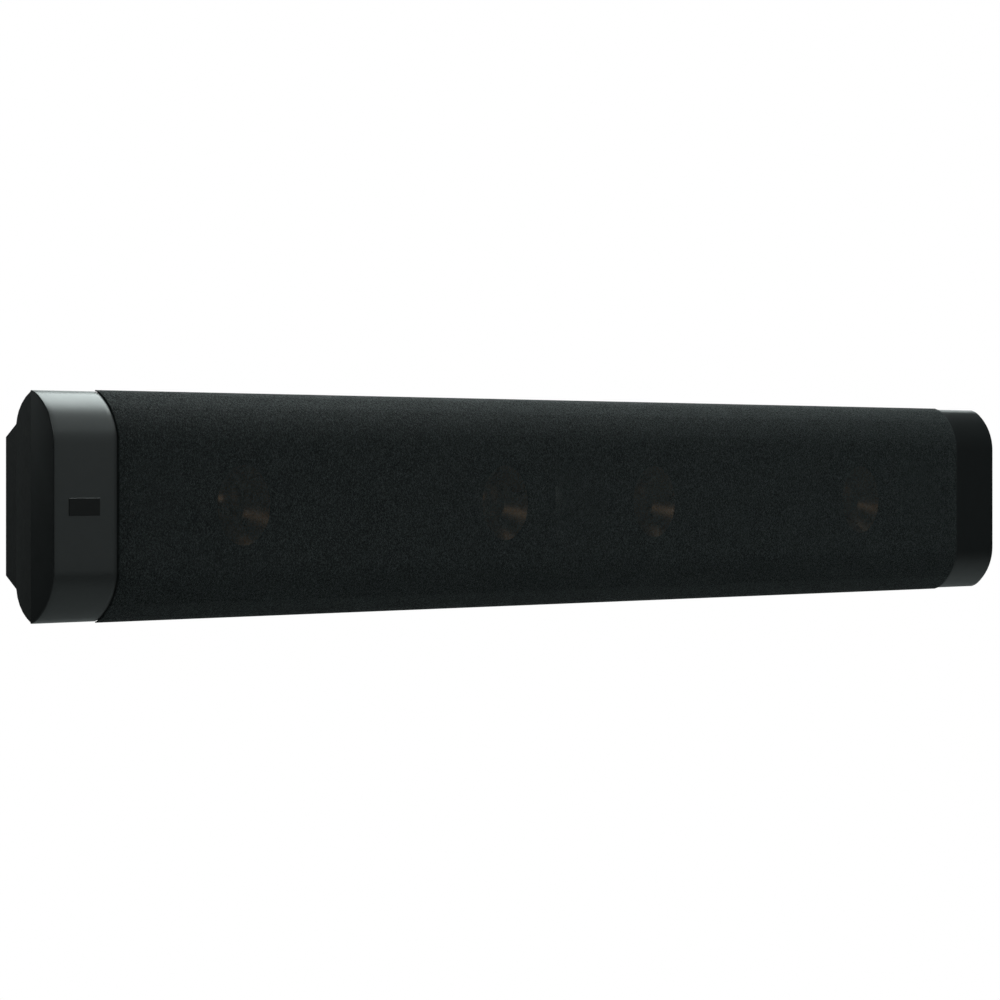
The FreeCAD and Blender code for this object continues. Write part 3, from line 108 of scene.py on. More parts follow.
def add_camera():
    """Level camera, well to the bar's left."""
    data = bpy.data.cameras.new("camera")
    data.lens = CAMERA_LENS
    data.sensor_width = 36.0
    data.shift_y = CAMERA_SHIFT_Y
    data.clip_start = 0.05
    data.clip_end = 100.0
    camera = bpy.data.objects.new("camera", data)
    camera.location = CAMERA_PLACE
    camera.rotation_euler = (math.radians(90.0), 0.0, -VIEW_YAW)
    bpy.context.scene.collection.objects.link(camera)
    bpy.context.scene.camera = camera


def add_area(name, place, target, width, height, power):
    """Soft rectangular lamp aimed at a point."""
    data = bpy.data.lights.new(name, "AREA")
    data.shape = "RECTANGLE"
    data.size = width
    data.size_y = height
    data.energy = power
    data.color = LAMP_TINT
    lamp = bpy.data.objects.new(name, data)
    lamp.location = place
    lamp.rotation_euler = (Vector(target) - Vector(place)).to_track_quat("-Z", "Y").to_euler()
    bpy.context.scene.collection.objects.link(lamp)


def white_to_the_eye(tree, shader, output, strength):
    """Show plain white to the camera and to transmitted rays, and the shader to the rest."""
    nodes = tree.nodes
    links = tree.links
    path = nodes.new("ShaderNodeLightPath")
    plain = nodes.new("ShaderNodeEmission" if output.type == "OUTPUT_MATERIAL" else "ShaderNodeBackground")
    plain.inputs["Color"].default_value = (1.0, 1.0, 1.0, 1.0)
    plain.inputs["Strength"].default_value = strength
    mix = nodes.new("ShaderNodeMixShader")
    seen = nodes.new("ShaderNodeMath")
    seen.operation = "MAXIMUM"
    links.new(path.outputs["Is Camera Ray"], seen.inputs[0])
    links.new(path.outputs["Is Transmission Ray"], seen.inputs[1])
    links.new(seen.outputs["Value"], mix.inputs["Fac"])
    links.new(shader.outputs[0], mix.inputs[1])
    links.new(plain.outputs[0], mix.inputs[2])
    links.new(mix.outputs[0], output.inputs["Surface"])


def add_world():
    """Even pale surroundings, plain white to the camera."""
    world = bpy.data.worlds.new("studio")
    bpy.context.scene.world = world
    world.use_nodes = True
    tree = world.node_tree
    tree.nodes.clear()
    output = tree.nodes.new("ShaderNodeOutputWorld")
    ambient = tree.nodes.new("ShaderNodeBackground")
    ambient.inputs["Color"].default_value = (0.86, 1.0, 1.0, 1.0)
    ambient.inputs["Strength"].default_value = 0.055
    white_to_the_eye(tree, ambient, output, 1.0)


def add_floor():
    """Pale floor well below the bar, as it hangs on a wall."""
    bm = bmesh.new()
    corners = [(-FLOOR_HALF, -FLOOR_HALF), (FLOOR_HALF, -FLOOR_HALF), (FLOOR_HALF, FLOOR_HALF), (-FLOOR_HALF, FLOOR_HALF)]
    bm.faces.new([bm.verts.new((x, y, FLOOR_Z)) for x, y in corners])
    mesh = bpy.data.meshes.new("studio_floor")
    bm.to_mesh(mesh)
    bm.free()
    floor = bpy.data.objects.new("studio_floor", mesh)
    bpy.context.scene.collection.objects.link(floor)
    material = bpy.data.materials.new("floor_paint")
    material.use_nodes = True
    tree = material.node_tree
    tree.nodes.clear()
    output = tree.nodes.new("ShaderNodeOutputMaterial")
    matte = tree.nodes.new("ShaderNodeBsdfDiffuse")
    matte.inputs["Color"].default_value = (0.38, 0.39, 0.39, 1.0)
    white_to_the_eye(tree, matte, output, 1.0)
    mesh.materials.append(material)


add_camera()
add_world()
add_floor()
add_area("key_lamp", (-1.7, -3.0, 1.6), (0.0, 0.0, 0.0), 1.6, 1.2, 46.0)
add_area("fill_lamp", (1.1, -1.9, 0.35), (-0.5, 0.0, 0.0), 1.2, 1.2, 2.6)
add_area("edge_lamp", (0.82, -1.05, 0.90), (-0.5, 0.0, 0.0), 1.0, 0.7, 2.6)
add_area("top_lamp", (0.95, 0.05, 1.55), (-0.35, 0.0, 0.0), 1.3, 1.1, 33.0)
add_area("back_lamp", (2.2, 1.9, 1.5), (-0.1, 0.0, 0.0), 3.0, 1.6, 24.0)
add_area("side_lamp", (-1.4, 1.9, 0.95), (-0.6, 0.0, 0.0), 2.4, 1.2, 15.0)
bpy.context.scene.view_settings.view_transform = "Standard"


# ---------------------------------------------------------------- materials

MATERIALS = {}
LOOP_PITCH = 1.1 * MM
CLOTH_DROP = 175.4 * MM
HEM = 17.0 * MM


class Shader:
    """A material's node tree, with short ways to add to it."""

    def __init__(self, name):
        self.material = bpy.data.materials.new(name)
        self.material.use_nodes = True
        self.tree = self.material.node_tree
        self.surface = next(n for n in self.tree.nodes if n.type == "BSDF_PRINCIPLED")
        self.output = next(n for n in self.tree.nodes if n.type == "OUTPUT_MATERIAL")
        self.place = self.add("ShaderNodeTexCoord").outputs["Object"]
        MATERIALS[name] = self.material

    def add(self, kind, **values):
        """A node; keywords are its properties."""
        node = self.tree.nodes.new(kind)
        for key, value in values.items():
            setattr(node, key, value)
        return node

    def link(self, start, end):
        self.tree.links.new(start, end)

    def set(self, **values):
        """Constants on the Principled shader's own sockets; underscores stand for spaces."""
        for key, value in values.items():
            self.surface.inputs[key.replace("_", " ")].default_value = value

    def stretched(self, scale, source=None):
        """Coordinates scaled along X, Y and Z."""
        node = self.add("ShaderNodeMapping")
        node.inputs["Scale"].default_value = scale
        self.link(source or self.place, node.inputs["Vector"])
        return node.outputs["Vector"]

    def noise(self, scale, detail=3.0, roughness=0.55, source=None):
        node = self.add("ShaderNodeTexNoise")
        node.inputs["Scale"].default_value = scale
        node.inputs["Detail"].default_value = detail
        node.inputs["Roughness"].default_value = roughness
        self.link(source or self.place, node.inputs["Vector"])
        return node.outputs["Fac"]

    def cells(self, scale, source=None):
        node = self.add("ShaderNodeTexVoronoi")
        node.inputs["Scale"].default_value = scale
        self.link(source or self.place, node.inputs["Vector"])
        return node.outputs["Distance"]

    def ranged(self, value, low, high, from_low=0.0, from_high=1.0):
        node = self.add("ShaderNodeMapRange")
        node.inputs["From Min"].default_value = from_low
        node.inputs["From Max"].default_value = from_high
        node.inputs["To Min"].default_value = low
        node.inputs["To Max"].default_value = high
        self.link(value, node.inputs["Value"])
        return node.outputs["Result"]

    def maths(self, operation, first, second=None):
        node = self.add("ShaderNodeMath", operation=operation)
        for socket, value in zip(node.inputs, (first, second)):
            if value is None:
                continue
            if isinstance(value, (int, float)):
                socket.default_value = value
            else:
                self.link(value, socket)
        return node.outputs["Value"]

    def blend(self, factor, dark, light):
        """Colour between two fixed ones."""
        node = self.add("ShaderNodeMix", data_type="RGBA")
        node.inputs["A"].default_value = (*dark, 1.0)
        node.inputs["B"].default_value = (*light, 1.0)
        for socket in node.inputs:
            if socket.name == "A" and socket.type == "RGBA":
                socket.default_value = (*dark, 1.0)
            if socket.name == "B" and socket.type == "RGBA":
                socket.default_value = (*light, 1.0)
        self.link(factor, node.inputs["Factor"])
        return next(o for o in node.outputs if o.type == "RGBA")

    def mix_in(self, factor, colour, light):
        """A linked colour that turns to a fixed one by factor."""
        node = self.add("ShaderNodeMix", data_type="RGBA")
        first = next(i for i in node.inputs if i.name == "A" and i.type == "RGBA")
        second = next(i for i in node.inputs if i.name == "B" and i.type == "RGBA")
        self.link(colour, first)
        second.default_value = (*light, 1.0)
        self.link(factor, node.inputs["Factor"])
        return next(o for o in node.outputs if o.type == "RGBA")

    def colour(self, value):
        self.link(value, self.surface.inputs["Base Color"])

    def rough(self, value):
        self.link(value, self.surface.inputs["Roughness"])

    def bump(self, height, depth, strength=1.0):
        """Raise the surface by height times depth, in metres."""
        node = self.add("ShaderNodeBump")
        node.inputs["Strength"].default_value = strength
        node.inputs["Distance"].default_value = depth
        self.link(height, node.inputs["Height"])
        self.link(node.outputs["Normal"], self.surface.inputs["Normal"])


def shades(colour, spread):
    """A colour made darker and lighter by spread."""
    return [c * (1 - spread) for c in colour], [min(1.0, c * (1 + spread)) for c in colour]


def moulded(name, colour, roughness, grain_depth, spread=0.15, specular=0.5, grain_scale=2200.0, coat=0.0,
            gloss_spread=0.05):
    """Moulded plastic or rubber: fine grain, faint mottling and slightly uneven gloss."""
    m = Shader(name)
    dark, light = shades(colour, spread)
    mottle = m.noise(38.0, 4.0)
    m.colour(m.blend(m.ranged(mottle, 0.0, 1.0, 0.3, 0.7), dark, light))
    m.rough(m.ranged(m.noise(95.0, 3.0), roughness - gloss_spread, roughness + gloss_spread, 0.3, 0.7))
    m.set(Specular_IOR_Level=specular, Coat_Weight=coat, Coat_Roughness=0.25)
    grain = m.maths("ADD", m.noise(grain_scale, 2.0), m.cells(grain_scale * 0.8))
    m.bump(grain, grain_depth, 0.6)
    return m


def turned_metal(name, colour, roughness, scale=(260.0, 9.0, 260.0), spread=0.12, depth=0.000006):
    """Bare or plated metal with fine marks and stains."""
    m = Shader(name)
    dark, light = shades(colour, spread)
    streaks = m.noise(9.0, 5.0, 0.6, m.stretched(scale))
    stain = m.noise(140.0, 4.0)
    m.colour(m.blend(m.ranged(m.maths("MULTIPLY", streaks, stain), 0.0, 1.0, 0.12, 0.4), dark, light))
    m.rough(m.ranged(streaks, roughness - 0.08, roughness + 0.1, 0.3, 0.7))
    m.set(Metallic=1.0)
    m.bump(streaks, depth, 0.5)
    return m


def felted(name, colour, roughness=0.95, scale=900.0, depth=0.0002, sheen=0.3):
    """Fibres matted together."""
    m = Shader(name)
    dark, light = shades(colour, 0.3)
    fibres = m.noise(scale, 5.0, 0.7, m.stretched((1.0, 1.0, 2.6)))
    m.colour(m.blend(m.ranged(fibres, 0.0, 1.0, 0.35, 0.65), dark, light))
    m.rough(m.ranged(fibres, roughness - 0.1, 1.0, 0.3, 0.7))
    m.set(Sheen_Weight=sheen, Sheen_Roughness=0.5, Specular_IOR_Level=0.2)
    m.bump(fibres, depth, 0.8)
    return m


def wound_copper(name, colour, turns_per_metre):
    """Enamelled wire laid in close turns along Y."""
    m = Shader(name)
    wave = m.add("ShaderNodeTexWave", bands_direction="Y")
    wave.inputs["Scale"].default_value = turns_per_metre
    wave.inputs["Distortion"].default_value = 0.6
    wave.inputs["Detail"].default_value = 1.0
    m.link(m.place, wave.inputs["Vector"])
    dark, light = shades(colour, 0.35)
    m.colour(m.blend(wave.outputs["Fac"], dark, light))
    m.rough(m.ranged(m.noise(300.0), 0.22, 0.4))
    m.set(Metallic=0.85)
    m.bump(wave.outputs["Fac"], 0.0002, 0.9)
    return m


def drawn_copper(name, colour, roughness):
    """Anodised cone sheet: satin, with faint random tone."""
    m = Shader(name)
    dark, light = shades(colour, 0.14)
    rings = m.noise(240.0, 3.0, 0.6)
    m.colour(m.blend(m.ranged(rings, 0.0, 1.0, 0.35, 0.65), dark, light))
    m.rough(m.ranged(m.noise(60.0, 3.0), roughness - 0.06, roughness + 0.08, 0.3, 0.7))
    m.set(Metallic=1.0)
    m.bump(m.noise(1500.0, 2.0), 0.00001, 0.5)
    return m


def solder_mask(name):
    """Green board with copper tracks under the mask."""
    m = Shader(name)
    tracks = m.add("ShaderNodeTexBrick")
    tracks.inputs["Scale"].default_value = 90.0
    tracks.inputs["Mortar Size"].default_value = 0.06
    tracks.inputs["Color1"].default_value = (0.02, 0.13, 0.045, 1.0)
    tracks.inputs["Color2"].default_value = (0.025, 0.15, 0.05, 1.0)
    tracks.inputs["Mortar"].default_value = (0.06, 0.27, 0.08, 1.0)
    turned = m.add("ShaderNodeMapping")
    turned.inputs["Rotation"].default_value = (math.radians(90.0), 0.0, 0.0)
    m.link(m.place, turned.inputs["Vector"])
    m.link(turned.outputs["Vector"], tracks.inputs["Vector"])
    m.colour(tracks.outputs["Color"])
    m.rough(m.ranged(m.noise(200.0), 0.3, 0.45))
    m.bump(tracks.outputs["Fac"], 0.00005, 0.6)
    return m


def split_place(m, source):
    """Second coordinate of a place."""
    node = m.add("ShaderNodeSeparateXYZ")
    m.link(source, node.inputs["Vector"])
    return node.outputs["Y"]


def knit(name):
    """Fine acoustic knit: staggered loops with shade painted into the gaps between them, open enough for light and the
    drivers to show through.
    """
    m = Shader(name)
    cloth = m.add("ShaderNodeUVMap", uv_map="cloth").outputs["UV"]
    rows = m.stretched((1.0 / LOOP_PITCH, 1.0 / LOOP_PITCH, 1.0), cloth)
    split = m.add("ShaderNodeSeparateXYZ")
    m.link(rows, split.inputs["Vector"])
    across = m.maths("SINE", m.maths("MULTIPLY", split.outputs["X"], 2 * math.pi))
    along = m.maths("SINE", m.maths("MULTIPLY", split.outputs["Y"], 2 * math.pi))
    loops = m.maths("MULTIPLY", across, along)
    grain = m.noise(760.0, 2.0, 0.6)
    fuzz = m.noise(1700.0, 3.0, 0.7)
    patches = m.noise(40.0, 2.0)
    height = m.maths("ADD", m.maths("MULTIPLY", loops, 0.2), m.maths("ADD", grain, fuzz))
    # This mask mixes the knit's random grain with painted shade: its dark end paints the gaps between loops as shaded,
    # its light end paints lit fibre tops; it also sets specular and sheen.
    grain_and_gap_shade = m.ranged(m.maths("ADD", grain, m.maths("MULTIPLY", patches, 0.08)), 0.0, 1.0, 0.31, 0.80)
    m.colour(m.blend(grain_and_gap_shade, (0.0022, 0.0029, 0.0029), (0.0146, 0.0186, 0.0186)))
    m.rough(m.ranged(grain, 0.75, 0.6, 0.3, 0.7))
    m.link(m.ranged(grain_and_gap_shade, 0.04, 0.20), m.surface.inputs["Specular IOR Level"])
    m.link(m.ranged(grain_and_gap_shade, 0.02, 0.09), m.surface.inputs["Sheen Weight"])
    m.set(Sheen_Roughness=0.30)
    m.surface.inputs["Sheen Tint"].default_value = (0.85, 0.97, 1.0, 1.0)
    m.bump(height, 0.0009, 0.9)
    holes = m.ranged(m.maths("ADD", m.maths("MULTIPLY", loops, 0.12), fuzz), 0.02, 0.26, 0.35, 0.75)
    off_middle = m.maths("ABSOLUTE", m.maths("SUBTRACT", split_place(m, cloth), CLOTH_DROP / 2))
    open_part = m.ranged(off_middle, 1.0, 0.0, CLOTH_DROP / 2 - HEM - 3 * MM, CLOTH_DROP / 2 - HEM)
    holes = m.maths("MULTIPLY", holes, open_part)
    clear = m.add("ShaderNodeBsdfTransparent")
    mix = m.add("ShaderNodeMixShader")
    m.link(holes, mix.inputs["Fac"])
    m.link(m.surface.outputs[0], mix.inputs[1])
    m.link(clear.outputs[0], mix.inputs[2])
    m.link(mix.outputs[0], m.output.inputs["Surface"])
    return m


def make_materials():
    """Every finish that the record names."""
    moulded("cabinet_shell", (0.0058, 0.0058, 0.0057), 0.50, 0.00006, 0.2, 0.16, 1500.0)
    moulded("baffle_black", (0.010, 0.010, 0.010), 0.75, 0.00004)
    moulded("cap_satin", (0.0032, 0.0039, 0.0041), 0.33, 0.000006, 0.06, 0.45, 3200.0, gloss_spread=0.015)
    moulded("black_foam", (0.016, 0.016, 0.016), 0.95, 0.0003, grain_scale=1100.0)
    moulded("badge_black", (0.0030, 0.0030, 0.0031), 0.40, 0.000004, 0.1, 0.16, 3000.0)
    moulded("pad_rubber", (0.022, 0.022, 0.023), 0.85, 0.0001, grain_scale=1300.0)
    moulded("grille_plastic", (0.009, 0.009, 0.009), 0.6, 0.00004)
    moulded("basket_black", (0.013, 0.013, 0.014), 0.42, 0.00003, coat=0.2)
    moulded("surround_rubber", (0.012, 0.012, 0.012), 0.6, 0.00002)
    moulded("horn_black", (0.009, 0.009, 0.0095), 0.45, 0.00001)
    moulded("cup_plastic", (0.013, 0.013, 0.0135), 0.55, 0.00007, 0.2, grain_scale=1300.0)
    moulded("capacitor_film", (0.36, 0.10, 0.02), 0.3, 0.00001, coat=0.4)
    moulded("wire_jacket", (0.02, 0.02, 0.021), 0.5, 0.00002)
    moulded("black_screw", (0.014, 0.014, 0.015), 0.38, 0.00001, 0.35)
    moulded("knob_red", (0.36, 0.012, 0.010), 0.28, 0.000005, 0.08, coat=0.3)
    moulded("knob_black", (0.013, 0.013, 0.014), 0.28, 0.000005, 0.08, coat=0.3)
    turned_metal("plated_steel", (0.52, 0.52, 0.50), 0.35)
    turned_metal("magnet_metal", (0.16, 0.16, 0.165), 0.6, depth=0.00003)
    turned_metal("post_brass", (0.80, 0.62, 0.28), 0.24)
    turned_metal("zinc_steel", (0.55, 0.55, 0.54), 0.4, (90.0, 90.0, 90.0))
    turned_metal("dome_metal", (0.66, 0.65, 0.62), 0.28, (120.0, 120.0, 120.0))
    drawn_copper("copper_cone", (0.47, 0.28, 0.17), 0.30)
    wound_copper("copper_wire", (0.55, 0.22, 0.09), 320.0)
    wound_copper("coil_former", (0.50, 0.27, 0.14), 900.0)
    felted("damping_felt", (0.46, 0.45, 0.41))
    felted("spider_cloth", (0.42, 0.29, 0.12), 0.8, 1400.0, 0.00012, 0.1)
    solder_mask("board_green")
    knit("grille_cloth")


make_materials()
for part in RECORD["subparts"]:
    slots = frame["nodes"][part["node"]].data.materials
    for number in range(len(slots)):
        slots[number] = MATERIALS[part["material_slot"]]
    if not slots:
        slots.append(MATERIALS[part["material_slot"]])


# ---------------------------------------------------------------- mesh helpers

def body_of(node):
    """The CAD body that holds a node."""
    return next(body for body, nodes in RECORD["behaviour"]["bodies"].items() if node in nodes)


def slot_of(node):
    """The record's finish for a node."""
    return next(part["material_slot"] for part in RECORD["subparts"] if part["node"] == node)


def finish_piece(name, bm, node, smooth_angle=35.0, slot=None, stands_for=()):
    """Turn a bmesh into a piece that rides with a CAD node's body and wears its finish."""
    bmesh.ops.recalc_face_normals(bm, faces=bm.faces)
    mesh = bpy.data.meshes.new(name)
    bm.to_mesh(mesh)
    bm.free()
    piece = bpy.data.objects.new(name, mesh)
    bpy.context.scene.collection.objects.link(piece)
    mesh.materials.append(MATERIALS[slot or slot_of(node)])
    mesh.shade_smooth()
    mesh.set_sharp_from_angle(angle=math.radians(smooth_angle))
    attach(piece, body_of(node))
    if stands_for:
        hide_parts(*stands_for)
    return piece


def front_outline(offset, end_slope, steps=18):
    """Front section moved out by offset: (y, z) points from its lower end up to its upper end."""
    centre_y = CAP_FRONT_Y + LARGE_RADIUS
    small_y = centre_y - (LARGE_RADIUS - SMALL_RADIUS) * math.cos(BEND)
    small_z = FLAT_HALF + (LARGE_RADIUS - SMALL_RADIUS) * math.sin(BEND)
    upper = [(CAP_FRONT_Y - offset, FLAT_HALF * k / 6) for k in range(7)]
    for k in range(1, steps + 1):
        a = BEND * k / steps
        reach = LARGE_RADIUS + offset
        upper.append((centre_y - reach * math.cos(a), FLAT_HALF + reach * math.sin(a)))
    for k in range(1, steps + 1):
        a = BEND + (end_slope - BEND) * k / steps
        reach = SMALL_RADIUS + offset
        upper.append((small_y - reach * math.cos(a), small_z + reach * math.sin(a)))
    return [(y, -z) for y, z in reversed(upper[1:])] + upper


def skin_between(bm, rows, closed=False):
    """Quads between rows of as many points each."""
    grid = [[bm.verts.new(point) for point in row] for row in rows]
    last = len(grid) if closed else len(grid) - 1
    for r in range(last):
        low, high = grid[r], grid[(r + 1) % len(grid)]
        for k in range(len(low) - 1):
            bm.faces.new((low[k], low[k + 1], high[k + 1], high[k]))
    return grid


# ---------------------------------------------------------------- grille cloth

CLOTH_SHEET = 0.8 * MM
CLOTH_PROUD = CAP_FRONT_Y - GRILLE_FRONT_Y
CLOTH_ROLL = 0.45 * MM


def grille_cloth():
    """Knit stretched over the grille frame, rolled round it at both ends."""
    bm = bmesh.new()
    ends = []
    for k in range(5):
        a = math.radians(90.0) * k / 4
        ends.append((CLOTH_ROLL * (1 - math.sin(a)), CLOTH_ROLL * (1 - math.cos(a))))
    stations = [(-GRILLE_HALF + inward, drop) for drop, inward in
                [(CLOTH_ROLL * (1 - math.sin(math.radians(22.5 * k))), CLOTH_ROLL * (1 - math.cos(math.radians(22.5 * k))))
                 for k in range(5)]]
    columns = 56
    for k in range(1, columns):
        stations.append((-GRILLE_HALF + CLOTH_ROLL + (2 * GRILLE_HALF - 2 * CLOTH_ROLL) * k / columns, 0.0))
    stations += [(-x, drop) for x, drop in reversed(stations[:5])]
    rows = []
    widths = []
    inner = front_outline(CLOTH_PROUD - CLOTH_SHEET, CLOTH_SLOPE)
    rows.append([(-GRILLE_HALF, y, z) for y, z in inner])
    widths.append(-GRILLE_HALF - CLOTH_SHEET)
    for x, drop in stations:
        rows.append([(x, y, z) for y, z in front_outline(CLOTH_PROUD - drop, CLOTH_SLOPE)])
        widths.append(x)
    rows.append([(GRILLE_HALF, y, z) for y, z in inner])
    widths.append(GRILLE_HALF + CLOTH_SHEET)
    grid = skin_between(bm, rows)
    outline = front_outline(CLOTH_PROUD, CLOTH_SLOPE)
    runs = [0.0]
    for (y0, z0), (y1, z1) in zip(outline, outline[1:]):
        runs.append(runs[-1] + math.hypot(y1 - y0, z1 - z0))
    along = {}
    for row, x in zip(grid, widths):
        for vertex, run in zip(row, runs):
            along[vertex] = (x, run)
    layer = bm.loops.layers.uv.new("cloth")
    for face in bm.faces:
        for loop in face.loops:
            loop[layer].uv = along[loop.vert]
    piece = finish_piece("grille_cloth_skin", bm, "grille_cloth", 50.0, stands_for=["grille_cloth"])
    return piece


grille_cloth()


# ---------------------------------------------------------------- end caps and badge

CAP_WALL = 3.5 * MM
END_BEVEL = 0.8 * MM
LIP_BEVEL = 0.2 * MM
RIDGE_BEVEL = 0.7 * MM


def cap_outline(inset, ridge_y, lip):
    """Closed cap section drawn in by inset: up the front, round the ridge bevel and in along the ridge plane."""
    centre_y = CAP_FRONT_Y + LARGE_RADIUS
    small_y = centre_y - (LARGE_RADIUS - SMALL_RADIUS) * math.cos(BEND)
    small_z = FLAT_HALF + (LARGE_RADIUS - SMALL_RADIUS) * math.sin(BEND)
    reach = SMALL_RADIUS - inset
    end_slope = math.acos((small_y - ridge_y + RIDGE_BEVEL) / reach)
    ridge_slope = math.acos((small_y - ridge_y) / reach)
    corner_z = small_z + reach * math.sin(ridge_slope)
    outline = front_outline(-inset, end_slope)
    start_y, start_z = outline[-1]
    round_off = []
    for k in range(1, 6):
        s = k / 5
        y = (1 - s) ** 2 * start_y + (2 * s * (1 - s) + s * s) * ridge_y
        z = (1 - s) ** 2 * start_z + 2 * s * (1 - s) * corner_z + s * s * (corner_z - RIDGE_BEVEL)
        round_off.append((y, z))
    round_off.append((ridge_y, corner_z - lip))
    return [(y, -z) for y, z in reversed(round_off)] + outline + round_off


def end_cap(node, side):
    """Hollow cap with a rounded edge round its end face, its ridge and the lip beside the grille."""
    bm = bmesh.new()
    end_x = HALF_LENGTH
    lip_x = CAP_EDGE_X
    stations = [(end_x - CAP_WALL, CAP_WALL, 0.0), (lip_x, CAP_WALL, 0.0)]
    for k in range(4):
        a = math.radians(30.0) * k
        stations.append((lip_x + LIP_BEVEL * (1 - math.sin(a)), LIP_BEVEL * (1 - math.cos(a)), 0.0))
    stations[2:6] = [(lip_x + LIP_BEVEL * (1 - math.cos(math.radians(30.0) * k)),
                      LIP_BEVEL * (1 - math.sin(math.radians(30.0) * k)), 0.0) for k in range(4)]
    for k in range(1, 12):
        stations.append((lip_x + LIP_BEVEL + (end_x - END_BEVEL - lip_x - LIP_BEVEL) * k / 12, 0.0, 0.0))
    for k in range(7):
        a = math.radians(15.0) * k
        drawn = END_BEVEL * (1 - math.cos(a))
        stations.append((end_x - END_BEVEL * (1 - math.sin(a)), drawn, drawn))
    rows = [[(side * x, y, z) for y, z in cap_outline(inset, RIDGE_Y - back, CAP_WALL)] for x, inset, back in stations]
    grid = skin_between(bm, rows)
    bm.faces.new(grid[0])
    bm.faces.new(grid[-1])
    return finish_piece(node + "_shell", bm, node, 30.0, stands_for=[node])


def badge():
    """Bare plate with a fine bevel, standing just proud of the cap."""
    low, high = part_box("badge_plate")
    bevel = 0.3 * MM
    bm = bmesh.new()
    loops = []
    for y, inset in ((high.y, 0.0), (low.y + bevel, 0.0), (low.y, bevel)):
        loops.append([(low.x + inset, y, low.z + inset), (high.x - inset, y, low.z + inset),
                      (high.x - inset, y, high.z - inset), (low.x + inset, y, high.z - inset)])
    grid = skin_between(bm, [loop + loop[:1] for loop in loops])
    bmesh.ops.remove_doubles(bm, verts=bm.verts, dist=1e-7)
    bm.verts.ensure_lookup_table()
    front = [v for v in bm.verts if abs(v.co.y - low.y) < 1e-7]
    centre_x = (low.x + high.x) / 2
    front.sort(key=lambda v: math.atan2(v.co.z, v.co.x - centre_x))
    bm.faces.new(front)
    return finish_piece("badge_blank", bm, "badge_plate", 25.0, stands_for=["badge_plate"])


end_cap("left_end_cap", -1)
end_cap("right_end_cap", 1)
badge()


# ---------------------------------------------------------------- screws, posts and knobs

def islands(node):
    """Boxes of a CAD node's separate solids."""
    mesh = frame["nodes"][node].data
    home = {}
    parent = []
    spot_of = []
    for vertex in mesh.vertices:
        spot = tuple(round(c, 6) for c in vertex.co)
        if spot not in home:
            home[spot] = len(parent)
            parent.append(len(parent))
        spot_of.append(home[spot])

    def root(i):
        while parent[i] != i:
            parent[i] = parent[parent[i]]
            i = parent[i]
        return i

    for edge in mesh.edges:
        parent[root(spot_of[edge.vertices[0]])] = root(spot_of[edge.vertices[1]])
    groups = {}
    matrix = frame["nodes"][node].matrix_world
    for vertex, spot in zip(mesh.vertices, spot_of):
        groups.setdefault(root(spot), []).append(matrix @ vertex.co)
    boxes = []
    for points in groups.values():
        low = Vector((min(p.x for p in points), min(p.y for p in points), min(p.z for p in points)))
        high = Vector((max(p.x for p in points), max(p.y for p in points), max(p.z for p in points)))
        boxes.append((low, high))
    return sorted(boxes, key=lambda box: (round(box[0].x, 5), round(box[0].z, 5)))


def turned(bm, profile, x, z, steps=32, wobble=None):
    """Surface turned about a Y axis at x, z: profile holds (radius, y); wobble trims a radius by angle and y."""
    rows = []
    for radius, y in profile:
        row = []
        for k in range(steps):
            a = 2 * math.pi * k / steps
            r = radius - (wobble(a, y, radius) if wobble else 0.0)
            row.append(bm.verts.new((x + r * math.cos(a), y, z + r * math.sin(a))))
        rows.append(row)
    for low, high in zip(rows, rows[1:]):
        for k in range(steps):
            bm.faces.new((low[k], low[(k + 1) % steps], high[(k + 1) % steps], high[k]))
    return rows


def cross_screw(bm, x, z, base_y, out, radius, height, tip_y, turn):
    """Pan head with a cross recess, and its shank; out is +1 where the head faces the rear."""
    shank = radius * 0.5
    profile = [(shank, tip_y), (shank, base_y), (radius, base_y), (radius, base_y + out * height * 0.45),
               (radius * 0.93, base_y + out * height * 0.75), (radius * 0.78, base_y + out * height * 0.93),
               (radius * 0.62, base_y + out * height)]
    rows = turned(bm, profile, x, z, 24)
    bm.faces.new(rows[0])
    arm = radius * 0.52
    half = radius * 0.10
    corners = []
    for quarter in range(4):
        a = turn + math.radians(90.0) * quarter
        for along, across in ((half, -half), (arm, -half), (arm, half)):
            corners.append((along * math.cos(a) - across * math.sin(a), along * math.sin(a) + across * math.cos(a)))
    top_y = base_y + out * height
    mouth = [bm.verts.new((x + u, top_y, z + v)) for u, v in corners]
    floor = [bm.verts.new((x + u * 0.6, top_y - out * height * 0.6, z + v * 0.6)) for u, v in corners]
    count = len(mouth)
    for k in range(count):
        bm.faces.new((mouth[k], mouth[(k + 1) % count], floor[(k + 1) % count], floor[k]))
    bm.faces.new(floor)
    rim = rows[-1]
    rim_edges = [bm.edges.get((rim[k], rim[(k + 1) % len(rim)])) for k in range(len(rim))]
    mouth_edges = [bm.edges.get((mouth[k], mouth[(k + 1) % count])) for k in range(count)]
    bmesh.ops.bridge_loops(bm, edges=rim_edges + mouth_edges)


def screw_set(name, node, head_height, out):
    """Every screw of a node as a cross-recess pan head, each turned a little differently."""
    bm = bmesh.new()
    for number, (low, high) in enumerate(islands(node)):
        radius = (high.x - low.x) / 2
        base_y = high.y - head_height if out > 0 else low.y + head_height
        tip_y = low.y if out > 0 else high.y
        turn = math.radians(37.0 * number)
        cross_screw(bm, (low.x + high.x) / 2, (low.z + high.z) / 2, base_y, out, radius, head_height, tip_y, turn)
    return finish_piece(name, bm, node, 30.0, stands_for=[node])


screw_set("cabinet_screw_set", "cabinet_screws", 2.6 * MM, 1)
screw_set("cup_screw_set", "cup_screws", 1.8 * MM, 1)
screw_set("driver_screw_set", "driver_screws", 1.8 * MM, -1)

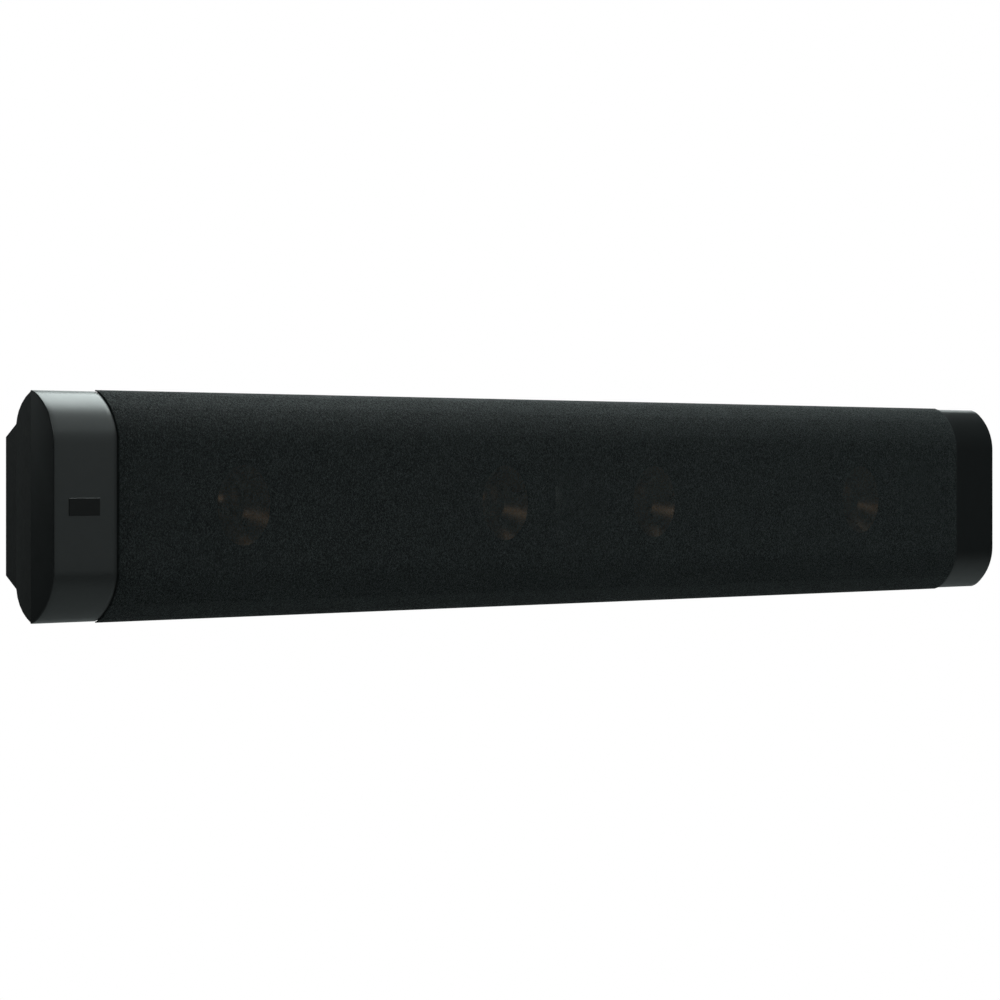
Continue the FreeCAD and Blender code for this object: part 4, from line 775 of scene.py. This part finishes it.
POST_RADIUS = 3.0 * MM
THREAD_PITCH = 1.0 * MM
THREAD_DEPTH = 0.3 * MM
SOCKET_RADIUS = 2.0 * MM
SOCKET_DEPTH = 16.0 * MM
COLLAR_RADIUS = 5.0 * MM
COLLAR_BACK_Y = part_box("post_washer_left_plus")[0].y
COLLAR_FLOOR_Y = COLLAR_BACK_Y - 2.0 * MM


def thread(angle, y, radius):
    """Depth cut from the post's crest by its thread."""
    if radius < POST_RADIUS or y < COLLAR_BACK_Y:
        return 0.0
    turn = (y / THREAD_PITCH - angle / (2 * math.pi)) % 1.0
    return THREAD_DEPTH * abs(2 * turn - 1)


def posts():
    """Threaded binding posts: a flange on the cup's floor, and a banana socket in each end."""
    low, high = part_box("terminal_posts")
    tip_y = high.y
    bm = bmesh.new()
    threaded = [(POST_RADIUS, COLLAR_BACK_Y + 0.125 * THREAD_PITCH * k)
                for k in range(int((tip_y - 0.7 * MM - COLLAR_BACK_Y) / (0.125 * THREAD_PITCH)))]
    profile = [(0.4 * MM, low.y), (0.86 * POST_RADIUS, low.y), (0.86 * POST_RADIUS, COLLAR_FLOOR_Y),
               (COLLAR_RADIUS, COLLAR_FLOOR_Y), (COLLAR_RADIUS, COLLAR_BACK_Y - 0.4 * MM),
               (COLLAR_RADIUS - 0.4 * MM, COLLAR_BACK_Y)] + threaded
    profile += [(0.95 * POST_RADIUS, tip_y - 0.5 * MM), (0.80 * POST_RADIUS, tip_y), (1.08 * SOCKET_RADIUS, tip_y),
                (SOCKET_RADIUS, tip_y - 0.4 * MM), (SOCKET_RADIUS, tip_y - SOCKET_DEPTH),
                (0.4 * MM, tip_y - SOCKET_DEPTH)]
    for channel in CHANNELS:
        for pole in POLES:
            middle = middle_of(f"post_knob_{channel}_{pole}")
            turned(bm, profile, middle.x, middle.z, 28, thread)
    return finish_piece("binding_posts", bm, "terminal_posts", 40.0, stands_for=["terminal_posts"])


FLUTES = 18
FLUTE_DEPTH = 0.55 * MM


def knob(node):
    """Fluted clamp knob with a plain collar at its foot and a chamfered crown."""
    low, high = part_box(node)
    middle = middle_of(node)
    radius = (high.x - low.x) / 2
    bore = POST_RADIUS + 0.05 * MM
    collar_top = low.y + 2.2 * MM
    crown = high.y - 0.8 * MM

    def flute(angle, y, at):
        if y < collar_top or y > crown or at < radius - 0.1 * MM:
            return 0.0
        return FLUTE_DEPTH * max(0.0, math.cos(FLUTES * angle)) ** 0.6

    profile = [(bore, high.y - 0.5 * MM), (bore, low.y), (radius - 0.3 * MM, low.y), (radius, low.y + 0.3 * MM),
               (radius, collar_top - 0.1 * MM), (radius - 0.11 * MM, collar_top - 0.05 * MM),
               (radius - 0.05 * MM, collar_top + 0.5 * MM), (radius - 0.05 * MM, crown),
               (radius - 0.75 * MM, high.y - 0.1 * MM), (radius - 1.4 * MM, high.y),
               (bore + 0.6 * MM, high.y), (bore, high.y - 0.5 * MM)]
    bm = bmesh.new()
    turned(bm, profile, middle.x, middle.z, FLUTES * 8, flute)
    return finish_piece(node + "_fluted", bm, node, 35.0, stands_for=[node])


posts()
for channel in CHANNELS:
    for pole in POLES:
        knob(f"post_knob_{channel}_{pole}")
